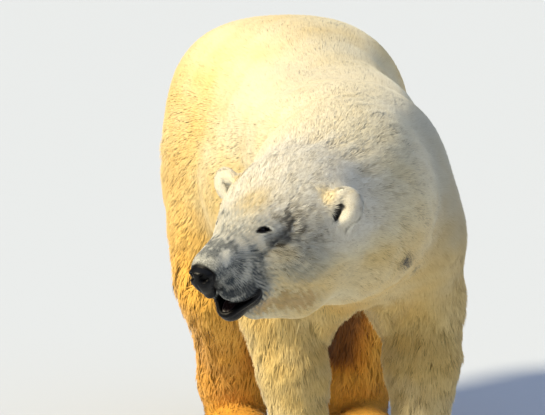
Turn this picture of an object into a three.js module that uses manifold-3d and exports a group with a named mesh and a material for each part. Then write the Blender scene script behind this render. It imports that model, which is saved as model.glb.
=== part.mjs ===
// Polar bear, a still life-size model: an adult male standing on four feet, head turned to its right.
// Millimetres, +Z up. The bear faces -Y and its left side is +X. The floor is z = 0, and the origin
// lies on the floor under the middle of the model's box.
import * as THREE from "three";
import { mergeVertices } from "three/addons/utils/BufferGeometryUtils.js";
import Module from "manifold-3d";

const wasm = await Module();
wasm.setup();

// ---- Driving dimensions ----
const GAP = 0.3; // clear space between touching pieces
const NOSE_CLEARANCE = 1.5; // between the nose pad and its socket
const WELD = 0.05; // edges shorter than this are closed up
const SHOULDER_Y = -340; // station of the withers along the spine
const FORE_SHIFT = 15; // how far the chest sways towards the left forefoot
const WITHERS_SHIFT = -20; // how far the tops of the shoulders lean to the right
const PAW_TOP = 92; // height at which a paw ends and its leg begins
const EYE_R = 17;
const CLAW_R = 8;
const CLAW_LENGTH = 58; // along its curve
const CLAW_OUT = 22; // how far in front of a toe's middle its claw is rooted
const CLAW_ROOT_Z = 44;
const CLAW_SPLAY = 6; // degrees between one claw and the next
const CLAW_CURL = 75; // degrees that a claw turns downwards from root to tip

// How finely each kind of piece is meshed.
const CELL = { trunk: 100, neck: 70, head: 24, jaw: 31, leg: 62, paw: 37, tail: 46, ear: 17, nose: 14 };

// Where each foot stands, x then y, and how thick the forearm or knee is beside the usual. Then, for
// a forefoot, how thick the shoulder is, and for a hind foot, how far outside it the knee is.
const FORE_FEET = { left: [190, -370, 1.03, 1.14], right: [-112, -450, 0.94, 1] };
const HIND_FEET = { left: [188, 530, 1.04, 17], right: [-130, 560, 1.18, 50] };

// The head's own frame: x is forward to the nose, y is to the bear's left, z is up. Its origin is
// halfway between the ears.
const HEAD_AT = new THREE.Vector3(-262, -985, 985);
const HEAD_YAW = 45; // degrees to the bear's right of straight ahead
const HEAD_DIP = 8; // degrees that the nose points below level
const HEAD_TILT = 2; // degrees that the left ear hangs lower
const EYE = [175, 49, -31]; // the left eyeball's middle
const MOUTH_CORNER = [200, -168]; // forward and up
const UPPER_LIP = -15; // degrees above level, going forward from the mouth's corner
const LOWER_LIP = -36; // the same for the lower lip, so the jaws stand 21 degrees open

// Each ear's middle, its size beside the usual, and how far it is turned outwards.
const EARS = {
  ear_left: { side: 1, middle: [-4, 164, -15], size: 1.1, turn: 0.38 },
  ear_right: { side: -1, middle: [-4, -172, -13], size: 0.93, turn: 0.08 },
};

// ---- Frames: every mass of flesh is given in one of these ----
const radians = THREE.MathUtils.degToRad;
const along = (x, y, z) => new THREE.Vector3(x, y, z);

function frameFrom(origin, forward, left, up) {
  return new THREE.Matrix4().makeBasis(forward, left, up).setPosition(origin);
}

function headFrame() {
  const yaw = radians(HEAD_YAW);
  const dip = radians(HEAD_DIP);
  const tilt = radians(HEAD_TILT);
  const forward = along(
    -Math.sin(yaw) * Math.cos(dip),
    -Math.cos(yaw) * Math.cos(dip),
    -Math.sin(dip),
  );
  const level = along(Math.cos(yaw), -Math.sin(yaw), 0);
  const left = level
    .clone()
    .multiplyScalar(Math.cos(tilt))
    .addScaledVector(along(0, 0, -1), Math.sin(tilt));
  const up = forward.clone().cross(left).normalize();
  left.copy(up).cross(forward);
  return frameFrom(HEAD_AT, forward, left, up);
}

const BODY = new THREE.Matrix4();
const HEAD = headFrame();
const headPoint = (x, y, z) => along(x, y, z).applyMatrix4(HEAD);

// A frame tipped about the body's X axis, for masses that lean along the spine.
function leaning(x, y, z, degrees) {
  return new THREE.Matrix4().makeRotationX(radians(degrees)).setPosition(x, y, z);
}

// ---- Masses: signed distances to one ellipsoid or one tapered limb, in millimetres ----
// An ellipsoid of half-axes `radii` about `centre` in `frame`; `blend` is how widely it melts into
// the masses before it.
function ball(frame, centre, radii, blend) {
  const inverse = frame.clone().invert().elements;
  const [cx, cy, cz] = centre;
  const [rx, ry, rz] = radii;
  const distance = (x, y, z) => {
    const px = inverse[0] * x + inverse[4] * y + inverse[8] * z + inverse[12] - cx;
    const py = inverse[1] * x + inverse[5] * y + inverse[9] * z + inverse[13] - cy;
    const pz = inverse[2] * x + inverse[6] * y + inverse[10] * z + inverse[14] - cz;
    const k0 = Math.hypot(px / rx, py / ry, pz / rz);
    const k1 = Math.hypot(px / (rx * rx), py / (ry * ry), pz / (rz * rz));
    return k1 > 1e-9 ? (k0 * (k0 - 1)) / k1 : -Math.min(rx, ry, rz);
  };
  return { distance, blend };
}

// A limb that tapers from radius ra at a to rb at b, both points in `frame`.
function limb(frame, a, b, ra, rb, blend) {
  const start = along(...a).applyMatrix4(frame);
  const run = along(...b).applyMatrix4(frame).sub(start);
  const length2 = run.lengthSq();
  const distance = (x, y, z) => {
    const px = x - start.x;
    const py = y - start.y;
    const pz = z - start.z;
    const dot = (px * run.x + py * run.y + pz * run.z) / length2;
    const t = Math.min(1, Math.max(0, dot));
    const off = Math.hypot(px - t * run.x, py - t * run.y, pz - t * run.z);
    return off - (ra + (rb - ra) * t);
  };
  return { distance, blend };
}

// Smooth union of masses, one after another.
function melted(masses) {
  return (x, y, z) => {
    let d = masses[0].distance(x, y, z);
    for (let i = 1; i < masses.length; i++) {
      const { distance, blend } = masses[i];
      const other = distance(x, y, z);
      const h = Math.max(blend - Math.abs(d - other), 0) / blend;
      d = Math.min(d, other) - h * h * blend * 0.25;
    }
    return d;
  };
}

const bothSides = (make) => [1, -1].flatMap(make);

// ---- The bear's flesh and coat, as masses joined in this order ----
// Chest, ribs and belly, loins, withers, back and rump; behind the shoulder, hip and shoulder blade
// on each side; tail.
const torso = [
  ball(BODY, [FORE_SHIFT, -230, 820], [196, 330, 250], 60),
  ball(BODY, [0, 130, 775], [292, 420, 288], 140),
  ball(BODY, [-8, 520, 798], [306, 340, 316], 140),
  ball(leaning(WITHERS_SHIFT, SHOULDER_Y, 980, -6), [0, 0, 0], [122, 270, 112], 120),
  ball(BODY, [0, 320, 915], [200, 400, 180], 160),
  ball(BODY, [0, 790, 780], [160, 130, 200], 130),
  ...bothSides((side) => [
    ball(BODY, [side * 120, -60, 958], [104, 210, 96], 90),
    ball(BODY, [side * 125, 540, 950], [152, 230, 140], 80),
    ball(leaning(WITHERS_SHIFT + side * 108, -290, 950, -16), [0, 0, 0], [88, 165, 105], 80),
  ]),
  limb(BODY, [0, 880, 800], [0, 935, 700], 60, 34, 60),
];

// Both feet of a pair, each as its side and then its numbers.
const feet = (table) => [
  [1, ...table.left],
  [-1, ...table.right],
];

// Upper arm, elbow and armpit.
const elbowX = (side, girth) => FORE_SHIFT + side * (182 + 90 * (girth - 1));
const shoulders = feet(FORE_FEET).flatMap(([side, , y, , girth]) => {
  const upper = leaning(FORE_SHIFT + side * 128 * girth, -320, 785, -14);
  const start = [FORE_SHIFT + side * 148 * girth, -390, 720];
  const elbow = [elbowX(side, girth), y + 90, 540];
  return [
    ball(upper, [0, 0, 0], [80 * girth, 150, 205], 90),
    limb(BODY, start, elbow, 98 * girth, 96, 80),
    ball(BODY, [FORE_SHIFT + side * 84, y + 60, 580], [54, 110, 92], 70),
  ];
});

const forearms = feet(FORE_FEET).flatMap(([side, x, y, girth, shoulder]) => {
  const elbow = [elbowX(side, shoulder), y + 90, 540];
  const muscle = [(elbowX(side, shoulder) + x) / 2, y + 62, 400];
  const wrist = [x + side * 3, y + 30, 190];
  return [
    limb(BODY, elbow, muscle, 98 * girth, 92 * girth, 60),
    limb(BODY, muscle, wrist, 92 * girth, 70, 40),
    limb(BODY, wrist, [x, y, 70], 70, 66, 40),
  ];
});

// Thigh in front and buttock behind.
const thighs = feet(HIND_FEET).flatMap(([side, x, y, girth, out]) => [
  ball(leaning(side * 180, 500, 690, 12), [0, 0, 0], [122, 225, 275], 120),
  limb(BODY, [side * 200, y - 120, 560], [x + side * out, y - 140, 440], 120, 98 * girth, 90),
  limb(BODY, [side * 165, 665, 640], [x + side * 10, y + 70, 330], 115, 78, 110),
]);

const shanks = feet(HIND_FEET).flatMap(([side, x, y, girth, out]) => {
  const heel = [x + side * 2, y + 10, 150];
  return [
    limb(BODY, [x + side * out, y - 130, 440], heel, 98 * girth, 86, 70),
    limb(BODY, heel, [x, y + 20, 70], 86, 68, 70),
  ];
});

// A paw: its pad and five toes in an arc. `back` is the length of foot behind the toes.
const TOES = [-2, -1, 0, 1, 2];
const TOE_RADII = [23, 40, 38];
const toeAt = (x, y, i) => [x + i * 35, y + 9 * i * i, 34];
function paw(x, y, back) {
  return [
    ball(BODY, [x, y + back / 2, 34], [78, 40 + back / 2, 52], 50),
    ball(BODY, [x, y + 40, 50], [84, 62, 46], 40),
    ...TOES.map((i) => ball(BODY, toeAt(x, y, i), TOE_RADII, 14)),
  ];
}
const foreToes = (y) => y - 105;
const hindToes = (y) => y - 160;
const forePaws = feet(FORE_FEET).flatMap(([, x, y]) => paw(x, foreToes(y), 150));
const hindPaws = feet(HIND_FEET).flatMap(([, x, y]) => paw(x, hindToes(y), 250));

// Nape, then throat.
const neckMasses = [
  limb(BODY, [0, -420, 870], [-80, -690, 905], 185, 178, 180),
  limb(BODY, [-80, -690, 905], [-205, -915, 923], 178, 152, 160),
  limb(BODY, [5, -470, 800], [-110, -770, 856], 165, 138, 160),
  limb(BODY, [-110, -770, 856], [-235, -940, 828], 138, 112, 120),
];

// Braincase and crown, cheeks and brows, muzzle and its end, upper lips.
const skull = [
  ball(HEAD, [-10, 0, -70], [148, 138, 112], 100),
  ball(HEAD, [55, 0, -38], [130, 98, 76], 60),
  ...bothSides((side) => [
    ball(HEAD, [4, side * 72, -105], [126, 79, 105], 50),
    ball(HEAD, [138, side * 34, -36], [60, 38, 42], 40),
  ]),
  limb(HEAD, [150, 0, -76], [306, 0, -89], 76, 47, 45),
  ball(HEAD, [326, 0, -91], [34, 35, 31], 12),
  ...bothSides((side) => [ball(HEAD, [246, side * 28, -137], [68, 32, 45], 25)]),
];

// Jawbone, chin and lower lips, then the throat behind them.
const lowerJaw = [
  limb(HEAD, [70, 0, -160], [228, 0, -200], 68, 32, 40),
  ball(HEAD, [237, 0, -212], [38, 31, 33], 20),
  ...bothSides((side) => [ball(HEAD, [185, side * 32, -178], [60, 34, 36], 30)]),
  limb(HEAD, [145, 0, -237], [15, 0, -226], 34, 91, 50),
];

// An ear's frame: x out of its hollow, z to its tip.
function earFrame({ side, middle, turn }) {
  const out = along(0.92, side * turn, 0.05).normalize();
  const tip = along(-0.05, side * 0.42, 0.9);
  const across = tip.clone().cross(out).normalize();
  tip.copy(out).cross(across);
  return frameFrom(along(...middle), out, across, tip).premultiply(HEAD);
}
const scaled = (size, ...lengths) => lengths.map((length) => length * size);
const ear = (place) => ball(earFrame(place), [-4, 0, 0], scaled(place.size, 24, 45, 50), 20);
const earHollow = (place) =>
  ball(earFrame(place), scaled(place.size, 22, -5 * place.side, -6), scaled(place.size, 15, 25, 31), 0);

// The whole bear but its ears: negative inside.
const earless = melted([
  ...torso,
  ...shoulders,
  ...thighs,
  ...forearms,
  ...shanks,
  ...forePaws,
  ...hindPaws,
  ...neckMasses,
  ...skull,
  ...lowerJaw,
]);

// One ear with the head that it grows from, hollow in front.
const earField = (place) => {
  const whole = melted([{ distance: earless }, ear(place)]);
  const hollow = earHollow(place);
  return (x, y, z) => Math.max(whole(x, y, z), -hollow.distance(x, y, z));
};

// ---- Meshing: surface nets over a box of cells, each vertex then slid onto the true surface ----
function polygonise(field, box, cell) {
  const size = box.getSize(new THREE.Vector3());
  const nx = Math.ceil(size.x / cell) + 1;
  const ny = Math.ceil(size.y / cell) + 1;
  const nz = Math.ceil(size.z / cell) + 1;
  const at = (i, j, k) => i + nx * (j + ny * k);
  const value = new Float32Array(nx * ny * nz);
  for (let k = 0; k < nz; k++)
    for (let j = 0; j < ny; j++)
      for (let i = 0; i < nx; i++) {
        const rim = !i || !j || !k || i === nx - 1 || j === ny - 1 || k === nz - 1;
        const x = box.min.x + i * cell;
        const y = box.min.y + j * cell;
        const z = box.min.z + k * cell;
        value[at(i, j, k)] = rim ? cell : field(x, y, z) || 1e-6;
      }
  const corner = [0, 1, nx, nx + 1, nx * ny, nx * ny + 1, nx * ny + nx, nx * ny + nx + 1];
  const offset = (c) => [c & 1, (c >> 1) & 1, c >> 2];
  // The ends of a cell's edges along x, along y and along z.
  const pairs = [
    [0, 1], [2, 3], [4, 5], [6, 7],
    [0, 2], [1, 3], [4, 6], [5, 7],
    [0, 4], [1, 5], [2, 6], [3, 7],
  ];
  const vertexOf = new Map();
  const vertices = [];
  for (let k = 0; k < nz - 1; k++)
    for (let j = 0; j < ny - 1; j++)
      for (let i = 0; i < nx - 1; i++) {
        const base = at(i, j, k);
        const sum = [0, 0, 0];
        let crossings = 0;
        for (const [a, b] of pairs) {
          const va = value[base + corner[a]];
          const vb = value[base + corner[b]];
          if (va > 0 === vb > 0) continue;
          const t = va / (va - vb);
          const oa = offset(a);
          const ob = offset(b);
          for (let n = 0; n < 3; n++) sum[n] += oa[n] + t * (ob[n] - oa[n]);
          crossings++;
        }
        if (!crossings) continue;
        vertexOf.set(base, vertices.length / 3);
        vertices.push(
          box.min.x + (i + sum[0] / crossings) * cell,
          box.min.y + (j + sum[1] / crossings) * cell,
          box.min.z + (k + sum[2] / crossings) * cell,
        );
      }
  const faces = [];
  const steps = [1, nx, nx * ny];
  for (let k = 0; k < nz - 1; k++)
    for (let j = 0; j < ny - 1; j++)
      for (let i = 0; i < nx - 1; i++) {
        const base = at(i, j, k);
        for (let n = 0; n < 3; n++) {
          const inside = value[base] <= 0;
          if (inside === value[base + steps[n]] <= 0) continue;
          const u = steps[(n + 1) % 3];
          const v = steps[(n + 2) % 3];
          const quad = [base, base - u, base - u - v, base - v].map((c) => vertexOf.get(c));
          if (!inside) quad.reverse();
          faces.push(quad[0], quad[1], quad[2], quad[0], quad[2], quad[3]);
        }
      }
  slideOnto(field, vertices, cell);
  return new THREE.BufferGeometry()
    .setAttribute("position", new THREE.Float32BufferAttribute(vertices, 3))
    .setIndex(faces);
}

// Moves each vertex along the field's slope by its distance, no further than `reach`.
function slideOnto(field, vertices, reach) {
  const h = 0.5;
  for (let pass = 0; pass < 2; pass++)
    for (let n = 0; n < vertices.length; n += 3) {
      const [x, y, z] = vertices.slice(n, n + 3);
      const d = field(x, y, z);
      if (Math.abs(d) > reach) continue;
      const slope = [
        field(x + h, y, z) - field(x - h, y, z),
        field(x, y + h, z) - field(x, y - h, z),
        field(x, y, z + h) - field(x, y, z - h),
      ].map((s) => s / (2 * h));
      const steep = slope[0] ** 2 + slope[1] ** 2 + slope[2] ** 2;
      if (steep < 0.05) continue;
      for (let a = 0; a < 3; a++) vertices[n + a] -= (0.9 * d * slope[a]) / steep;
    }
}

// ---- Solids ----
function toSolid(geometry, matrix = BODY) {
  const bare = geometry.clone().applyMatrix4(matrix);
  bare.deleteAttribute("normal");
  bare.deleteAttribute("uv");
  const merged = mergeVertices(bare, 1e-3);
  return new wasm.Manifold(
    new wasm.Mesh({
      numProp: 3,
      vertProperties: merged.attributes.position.array,
      triVerts: new Uint32Array(merged.index.array),
      tolerance: WELD,
    }),
  );
}

function toGeometry(solid) {
  const { vertProperties, triVerts } = solid.getMesh();
  return new THREE.BufferGeometry()
    .setAttribute("position", new THREE.BufferAttribute(vertProperties, 3))
    .setIndex(new THREE.BufferAttribute(triVerts, 1));
}

const boxOf = (low, high) => new THREE.Box3(along(...low), along(...high));

// A plane is a point on it and the way it faces. Keeps what lies in front of the plane, half a gap
// clear of it.
function beyond(solid, [point, normal]) {
  const REACH = 3000;
  const facing = new THREE.Quaternion().setFromUnitVectors(along(0, 0, 1), normal.clone().normalize());
  const place = new THREE.Matrix4().makeRotationFromQuaternion(facing).setPosition(point);
  const space = new THREE.BoxGeometry(REACH, REACH, REACH).translate(0, 0, REACH / 2 + GAP / 2);
  return solid.intersect(toSolid(space, place));
}
const flipped = ([point, normal]) => [point, normal.clone().negate()];
const inHeadFrame = (point, normal) => [
  headPoint(...point),
  along(...normal).transformDirection(HEAD),
];

// ---- Where the body is parted ----
const NAPE = inHeadFrame([-88, 0, -60], [1, 0, 0.12]); // head in front, neck behind
const NECK_BASE = [along(0, -545, 880), along(-0.15, -1, 0.25)]; // neck in front, trunk behind
const GAPE_MIDDLE = radians((UPPER_LIP + LOWER_LIP) / 2);
const JAW_LINE = inHeadFrame(
  [MOUTH_CORNER[0], 0, MOUTH_CORNER[1]],
  [Math.sin(GAPE_MIDDLE), 0, -Math.cos(GAPE_MIDDLE)],
); // jaw below
const TAIL_ROOT = [along(0, 905, 760), along(0, 1, -0.25)]; // tail behind
const SOLES = [along(0, 0, -GAP / 2), along(0, 0, 1)];
const PAW_LINE = [along(0, 0, PAW_TOP), along(0, 0, -1)]; // paw below
const legLine = (side, foot) => [along(side * 95 + foot * 0.15, 0, 520), along(side * 0.86, 0, -0.5)];

// The bear's flesh inside a box, meshed at its own fineness and cut at the planes around it.
function fleshPiece(low, high, cell, planes) {
  let solid = toSolid(polygonise(earless, boxOf(low, high), cell));
  for (const plane of planes) solid = beyond(solid, plane);
  return solid;
}

// A slab of space that holds a leg: outside its line, between two stations of the spine.
function legSpace(side, foot, from, to) {
  const [point, normal] = legLine(side, foot);
  const reach = 1400;
  const slab = new THREE.BoxGeometry(reach, to - from, reach);
  const tilt = Math.atan2(-normal.z, normal.x);
  const turn = new THREE.Matrix4().makeRotationY(tilt);
  const middle = point.clone().addScaledVector(normal.clone().normalize(), reach / 2);
  turn.setPosition(middle.x, (from + to) / 2, middle.z);
  return toSolid(slab, turn);
}

// The space an ear takes: a box in the ear's frame, `less` narrower all round.
const EAR_SPACE = [
  [-38, -60, -27],
  [44, 60, 95],
];
function earSpace(place, less) {
  const [low, high] = EAR_SPACE;
  const extent = high.map((h, n) => h - low[n] - 2 * less);
  const middle = high.map((h, n) => (h + low[n]) / 2);
  return toSolid(new THREE.BoxGeometry(...extent).translate(...middle), earFrame(place));
}

// The gap between the lips: a wedge that opens forward from the mouth's corners.
function openMouth() {
  const LENGTH = 260;
  const WIDTH = 300;
  const [forward, up] = MOUTH_CORNER;
  const lip = (degrees) => [
    forward + LENGTH * Math.cos(radians(degrees)),
    up + LENGTH * Math.sin(radians(degrees)),
  ];
  const outline = new THREE.Shape();
  outline.moveTo(forward, up);
  outline.lineTo(...lip(LOWER_LIP));
  outline.lineTo(...lip(UPPER_LIP));
  outline.closePath();
  const wedge = new THREE.ExtrudeGeometry(outline, { depth: WIDTH, bevelEnabled: false });
  wedge.rotateX(Math.PI / 2).translate(0, WIDTH / 2, 0);
  return toSolid(wedge, HEAD);
}

const solids = {};
const cutAway = (tool, ...names) => {
  for (const name of names) solids[name] = solids[name].subtract(tool);
};

const LEGS = [
  ["foreleg_left", 1, FORE_FEET.left, [-620, -150]],
  ["foreleg_right", -1, FORE_FEET.right, [-650, -215]],
  ["hindleg_left", 1, HIND_FEET.left, [230, 800]],
  ["hindleg_right", -1, HIND_FEET.right, [230, 800]],
];

// Trunk, legs, tail and neck.
const TRUNK_BOX = [
  [-520, -800, 380],
  [520, 1000, 1240],
];
let trunk = fleshPiece(...TRUNK_BOX, CELL.trunk, [flipped(NECK_BASE), flipped(TAIL_ROOT)]);
for (const [name, side, [x], [from, to]] of LEGS) {
  const low = [side > 0 ? 0 : -480, from - 60, 40];
  const high = [side > 0 ? 480 : 0, to + 60, 980];
  const leg = fleshPiece(low, high, CELL.leg, [flipped(PAW_LINE), flipped(NECK_BASE)]);
  trunk = trunk.subtract(legSpace(side, x, from, to));
  solids[name] = leg.intersect(legSpace(side, x, from + GAP, to - GAP)).translate(side * GAP, 0, 0);
}
solids.trunk = trunk;
solids.tail = fleshPiece([-150, 780, 560], [150, 1040, 900], CELL.tail, [TAIL_ROOT]);
const NECK_BOX = [
  [-560, -1180, 560],
  [420, -420, 1240],
];
solids.neck = fleshPiece(...NECK_BOX, CELL.neck, [NECK_BASE, flipped(NAPE)]);

// Head, jaw and ears.
const HEAD_BOX = [
  [-720, -1420, 640],
  [20, -780, 1130],
];
solids.head = fleshPiece(...HEAD_BOX, CELL.head, [NAPE, flipped(JAW_LINE)]);
solids.jaw = fleshPiece(...HEAD_BOX, CELL.jaw, [NAPE, JAW_LINE]);
cutAway(openMouth(), "head", "jaw");
for (const [name, place] of Object.entries(EARS)) {
  const room = new THREE.Box3();
  room.setFromCenterAndSize(headPoint(...place.middle), along(240, 240, 240));
  const flesh = toSolid(polygonise(earField(place), room, CELL.ear));
  solids[name] = flesh.intersect(earSpace(place, GAP));
  cutAway(earSpace(place, 0), "head", "jaw", "neck");
}

// Eyes, each in a socket that opens outwards between the lids.
const LIDS = [17, 9]; // half the opening's length and height
for (const [name, side] of [["eye_left", 1], ["eye_right", -1]]) {
  const middle = along(EYE[0], side * EYE[1], EYE[2]);
  const eyeball = (radius) => new THREE.SphereGeometry(radius, 10, 6).translate(...middle);
  solids[name] = toSolid(eyeball(EYE_R), HEAD);
  cutAway(toSolid(eyeball(EYE_R + GAP), HEAD), "head");
  const out = along(0.46, side * 0.86, 0.2).normalize();
  const tall = along(0, 0, 1).addScaledVector(out, -out.z).normalize();
  const opening = new THREE.CylinderGeometry(1, 1, 2 * EYE_R, 8).scale(LIDS[0], 1, LIDS[1]);
  opening.translate(0, EYE_R, 0).applyMatrix4(frameFrom(middle, out.clone().cross(tall), out, tall));
  cutAway(toSolid(opening, HEAD), "head");
}

// Nose pad: a round mass with a foot that runs down to the lip, cut flat in front and on top, with
// two nostrils.
function headPlane(point, normal) {
  const [at, facing] = inHeadFrame(point, normal);
  return (x, y, z) => (x - at.x) * facing.x + (y - at.y) * facing.y + (z - at.z) * facing.z;
}
const nosePad = melted([
  ball(HEAD, [343, 0, -95], [37, 38, 39], 0),
  limb(HEAD, [343, 0, -108], [318, 0, -146], 21, 15, 14),
]);
const noseFront = headPlane([371, 0, -92], [0.9, 0, -0.44]);
const noseTop = headPlane([356, 0, -77], [0.5, 0, 1]);
const noseShape = (grown) => {
  const distance = (x, y, z) => Math.max(nosePad(x, y, z), noseFront(x, y, z), noseTop(x, y, z)) - grown;
  return toSolid(polygonise(distance, boxOf([-570, -1320, 760], [-420, -1160, 940]), CELL.nose));
};
solids.nose = noseShape(0);
cutAway(noseShape(NOSE_CLEARANCE), "head");
for (const side of [1, -1]) {
  const nostril = new THREE.SphereGeometry(1, 8, 6).scale(18, 10, 10.5).translate(369, side * 17, -95);
  cutAway(toSolid(nostril, HEAD), "nose");
}

// Tongue, lying in a hollow of the lower jaw.
const tongue = (grown) => {
  const shape = new THREE.SphereGeometry(1, 12, 6).scale(31 + grown, 19 + grown, 8 + grown);
  shape.rotateY(radians(-LOWER_LIP)).translate(238, 0, -198);
  return toSolid(shape, HEAD);
};
solids.tongue = tongue(0);
cutAway(tongue(GAP), "jaw");

// ---- Paws and claws ----
// A claw's root is at the origin and its tip is down and forward (-y): a cone bent along an arc.
function clawShape(grown) {
  const radius = CLAW_R + grown;
  const profile = [[0, -grown], [radius, -grown], [radius * 0.85, 0.45], [radius * 0.5, 0.78], [0, 1]];
  const outline = profile.map(([r, t]) => new THREE.Vector2(r, t > 0 ? t * CLAW_LENGTH : t));
  const shape = new THREE.LatheGeometry(outline, 5);
  const vertices = shape.attributes.position;
  const arc = CLAW_LENGTH / radians(CLAW_CURL);
  for (let n = 0; n < vertices.count; n++) {
    const across = vertices.getX(n);
    const turned = Math.max(0, vertices.getY(n)) / arc;
    const back = Math.min(0, vertices.getY(n));
    const height = -vertices.getZ(n) * 1.2;
    vertices.setXYZ(
      n,
      across,
      -back - (arc + height) * Math.sin(turned),
      (arc + height) * Math.cos(turned) - arc,
    );
  }
  return shape;
}

const PAWS = [
  ["forepaw_left", FORE_FEET.left, foreToes, 150],
  ["forepaw_right", FORE_FEET.right, foreToes, 150],
  ["hindpaw_left", HIND_FEET.left, hindToes, 250],
  ["hindpaw_right", HIND_FEET.right, hindToes, 250],
];
for (const [name, [x, y], toesOf, back] of PAWS) {
  const toes = toesOf(y);
  const low = [x - 130, toes - 80, -50];
  const high = [x + 130, toes + back + 110, PAW_TOP + 70];
  solids[name] = fleshPiece(low, high, CELL.paw, [SOLES, PAW_LINE]);
  for (const i of TOES) {
    const [toeX, toeY] = toeAt(x, toes, i);
    const splay = new THREE.Matrix4().makeRotationZ(radians(CLAW_SPLAY * i));
    splay.setPosition(toeX, toeY - CLAW_OUT, CLAW_ROOT_Z);
    solids[`${name.replace("paw", "claw")}_${i + 3}`] = toSolid(clawShape(0), splay);
    cutAway(toSolid(clawShape(GAP), splay), name);
  }
}

// ---- The model ----
const COLOURS = {
  trunk: 0xf1dfb4,
  neck: 0xe8e0c8,
  head: 0xddd6be,
  jaw: 0xd2c8ab,
  ear: 0xebe5d3,
  foreleg: 0xdfcb9b,
  forepaw: 0xdccba4,
  hindleg: 0xe3a957,
  hindpaw: 0xc99a5a,
  tail: 0xe9bd77,
};
const coat = (name) =>
  new THREE.MeshStandardMaterial({ color: COLOURS[name.split("_")[0]], roughness: 0.9 });
const horn = () => new THREE.MeshStandardMaterial({ color: 0x2f2a25, roughness: 0.45 });
const BARE = {
  nose: new THREE.MeshStandardMaterial({ color: 0x1b1c1f, roughness: 0.4 }),
  tongue: new THREE.MeshStandardMaterial({ color: 0x8c5a60, roughness: 0.35 }),
  eye_left: new THREE.MeshStandardMaterial({ color: 0x24160d, roughness: 0.1 }),
  eye_right: new THREE.MeshStandardMaterial({ color: 0x24160d, roughness: 0.1 }),
};
const materialOf = (name) => BARE[name] ?? (name.includes("claw") ? horn() : coat(name));

const bear = new THREE.Group();
for (const [name, solid] of Object.entries(solids)) {
  const mesh = new THREE.Mesh(toGeometry(solid), materialOf(name));
  mesh.name = name;
  bear.add(mesh);
}
const middle = new THREE.Box3().setFromObject(bear).getCenter(new THREE.Vector3());
bear.position.set(-middle.x, -middle.y, 0);

export default bear;
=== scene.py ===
"""Polar bear, life size, standing still with its head turned to its right.

Shapes are worked out in millimetres in the body's frame: the bear faces -Y, its left side is +X and
the floor is z = 0. metres() carries them to the model's frame.
"""

import itertools
import math

import bpy
import numpy as np
from mathutils import Matrix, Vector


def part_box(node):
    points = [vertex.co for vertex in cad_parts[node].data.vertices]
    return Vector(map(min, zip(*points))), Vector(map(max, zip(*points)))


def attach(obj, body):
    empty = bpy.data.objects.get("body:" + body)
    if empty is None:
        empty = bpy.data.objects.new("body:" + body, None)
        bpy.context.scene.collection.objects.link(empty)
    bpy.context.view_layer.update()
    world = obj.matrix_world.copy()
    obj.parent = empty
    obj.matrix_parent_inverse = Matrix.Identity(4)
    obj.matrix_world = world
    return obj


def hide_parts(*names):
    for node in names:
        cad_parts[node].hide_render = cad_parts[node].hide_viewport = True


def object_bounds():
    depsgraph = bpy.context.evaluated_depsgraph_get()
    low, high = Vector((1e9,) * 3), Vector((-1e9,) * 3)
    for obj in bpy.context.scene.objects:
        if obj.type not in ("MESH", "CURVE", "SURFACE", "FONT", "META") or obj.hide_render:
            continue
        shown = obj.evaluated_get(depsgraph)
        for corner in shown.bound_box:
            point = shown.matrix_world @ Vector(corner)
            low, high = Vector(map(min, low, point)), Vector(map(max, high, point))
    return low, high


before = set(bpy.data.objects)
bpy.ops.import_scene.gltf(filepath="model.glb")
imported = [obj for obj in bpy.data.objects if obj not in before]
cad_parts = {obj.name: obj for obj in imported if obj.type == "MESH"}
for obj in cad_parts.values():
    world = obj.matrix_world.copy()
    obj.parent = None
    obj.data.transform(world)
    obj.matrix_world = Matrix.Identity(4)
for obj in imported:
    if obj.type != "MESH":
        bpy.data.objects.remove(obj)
cad_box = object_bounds()
rng = np.random.default_rng(11)

# ---- Sizes and places, in millimetres ----
SHOULDER_Y = -340  # station of the withers along the spine
FORE_SHIFT = 15  # how far the chest sways towards the left forefoot
WITHERS_SHIFT = -20  # how far the tops of the shoulders lean to the right
EYE_R = 17
CLAW_R = 8
CLAW_LENGTH = 58
CLAW_OUT = 22  # from a toe's middle forward to its claw's root
CLAW_ROOT_Z = 44
CLAW_SPLAY = 6  # degrees from claw to claw
CLAW_CURL = 75  # degrees from root to tip
# Where each foot stands, x then y: the weight is on the left foreleg and the right hind leg. Then,
# in front, how thick the forearm and the shoulder are beside the usual, and behind, how thick the
# knee is and how far outside its foot.
FORE_FEET = {1: (190, -370, 1.03, 1.14), -1: (-112, -450, 0.94, 1.0)}
HIND_FEET = {1: (188, 530, 1.04, 17), -1: (-130, 560, 1.18, 50)}
TOES = (-2, -1, 0, 1, 2)
SIDES = (1, -1)  # left, right

# The head's own frame is x forward, y to its left and z up, from a point halfway between the ears.
HEAD_AT = np.array([-262.0, -985.0, 985.0])
HEAD_YAW, HEAD_DIP, HEAD_TILT = np.radians([45, 8, 2])
EAR_MIDDLE = {1: (-4, 164, -15), -1: (-4, -172, -13)}
EAR_SIZE = {1: 1.1, -1: 0.93}
EAR_TURN = {1: 0.38, -1: 0.08}  # an ear's hollow faces this far outwards for 0.92 ahead
EYE = (175, 49, -31)
MOUTH_CORNER = (200, -168)  # forward and up
UPPER_LIP, LOWER_LIP = np.radians([-15, -36])  # slopes of the lips, going forward


# ---- Small sums ----
def unit(v):
    """v divided by its length."""
    v = np.asarray(v, np.float32)
    return v / np.maximum(np.linalg.norm(v, axis=-1, keepdims=True), 1e-6)


def size(q):
    """Length of each row of q."""
    return np.sqrt(np.einsum("ij,ij->i", q, q))


def ease(x, start, end):
    """0 before start and 1 after end, by 3t^2 - 2t^3 between them; start may be above end."""
    t = np.clip((x - start) / (end - start), 0, 1)
    return t * t * (3 - 2 * t)


def mix(a, b, t):
    """a where t is 0, b where it is 1."""
    return a + (b - a) * t


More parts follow.
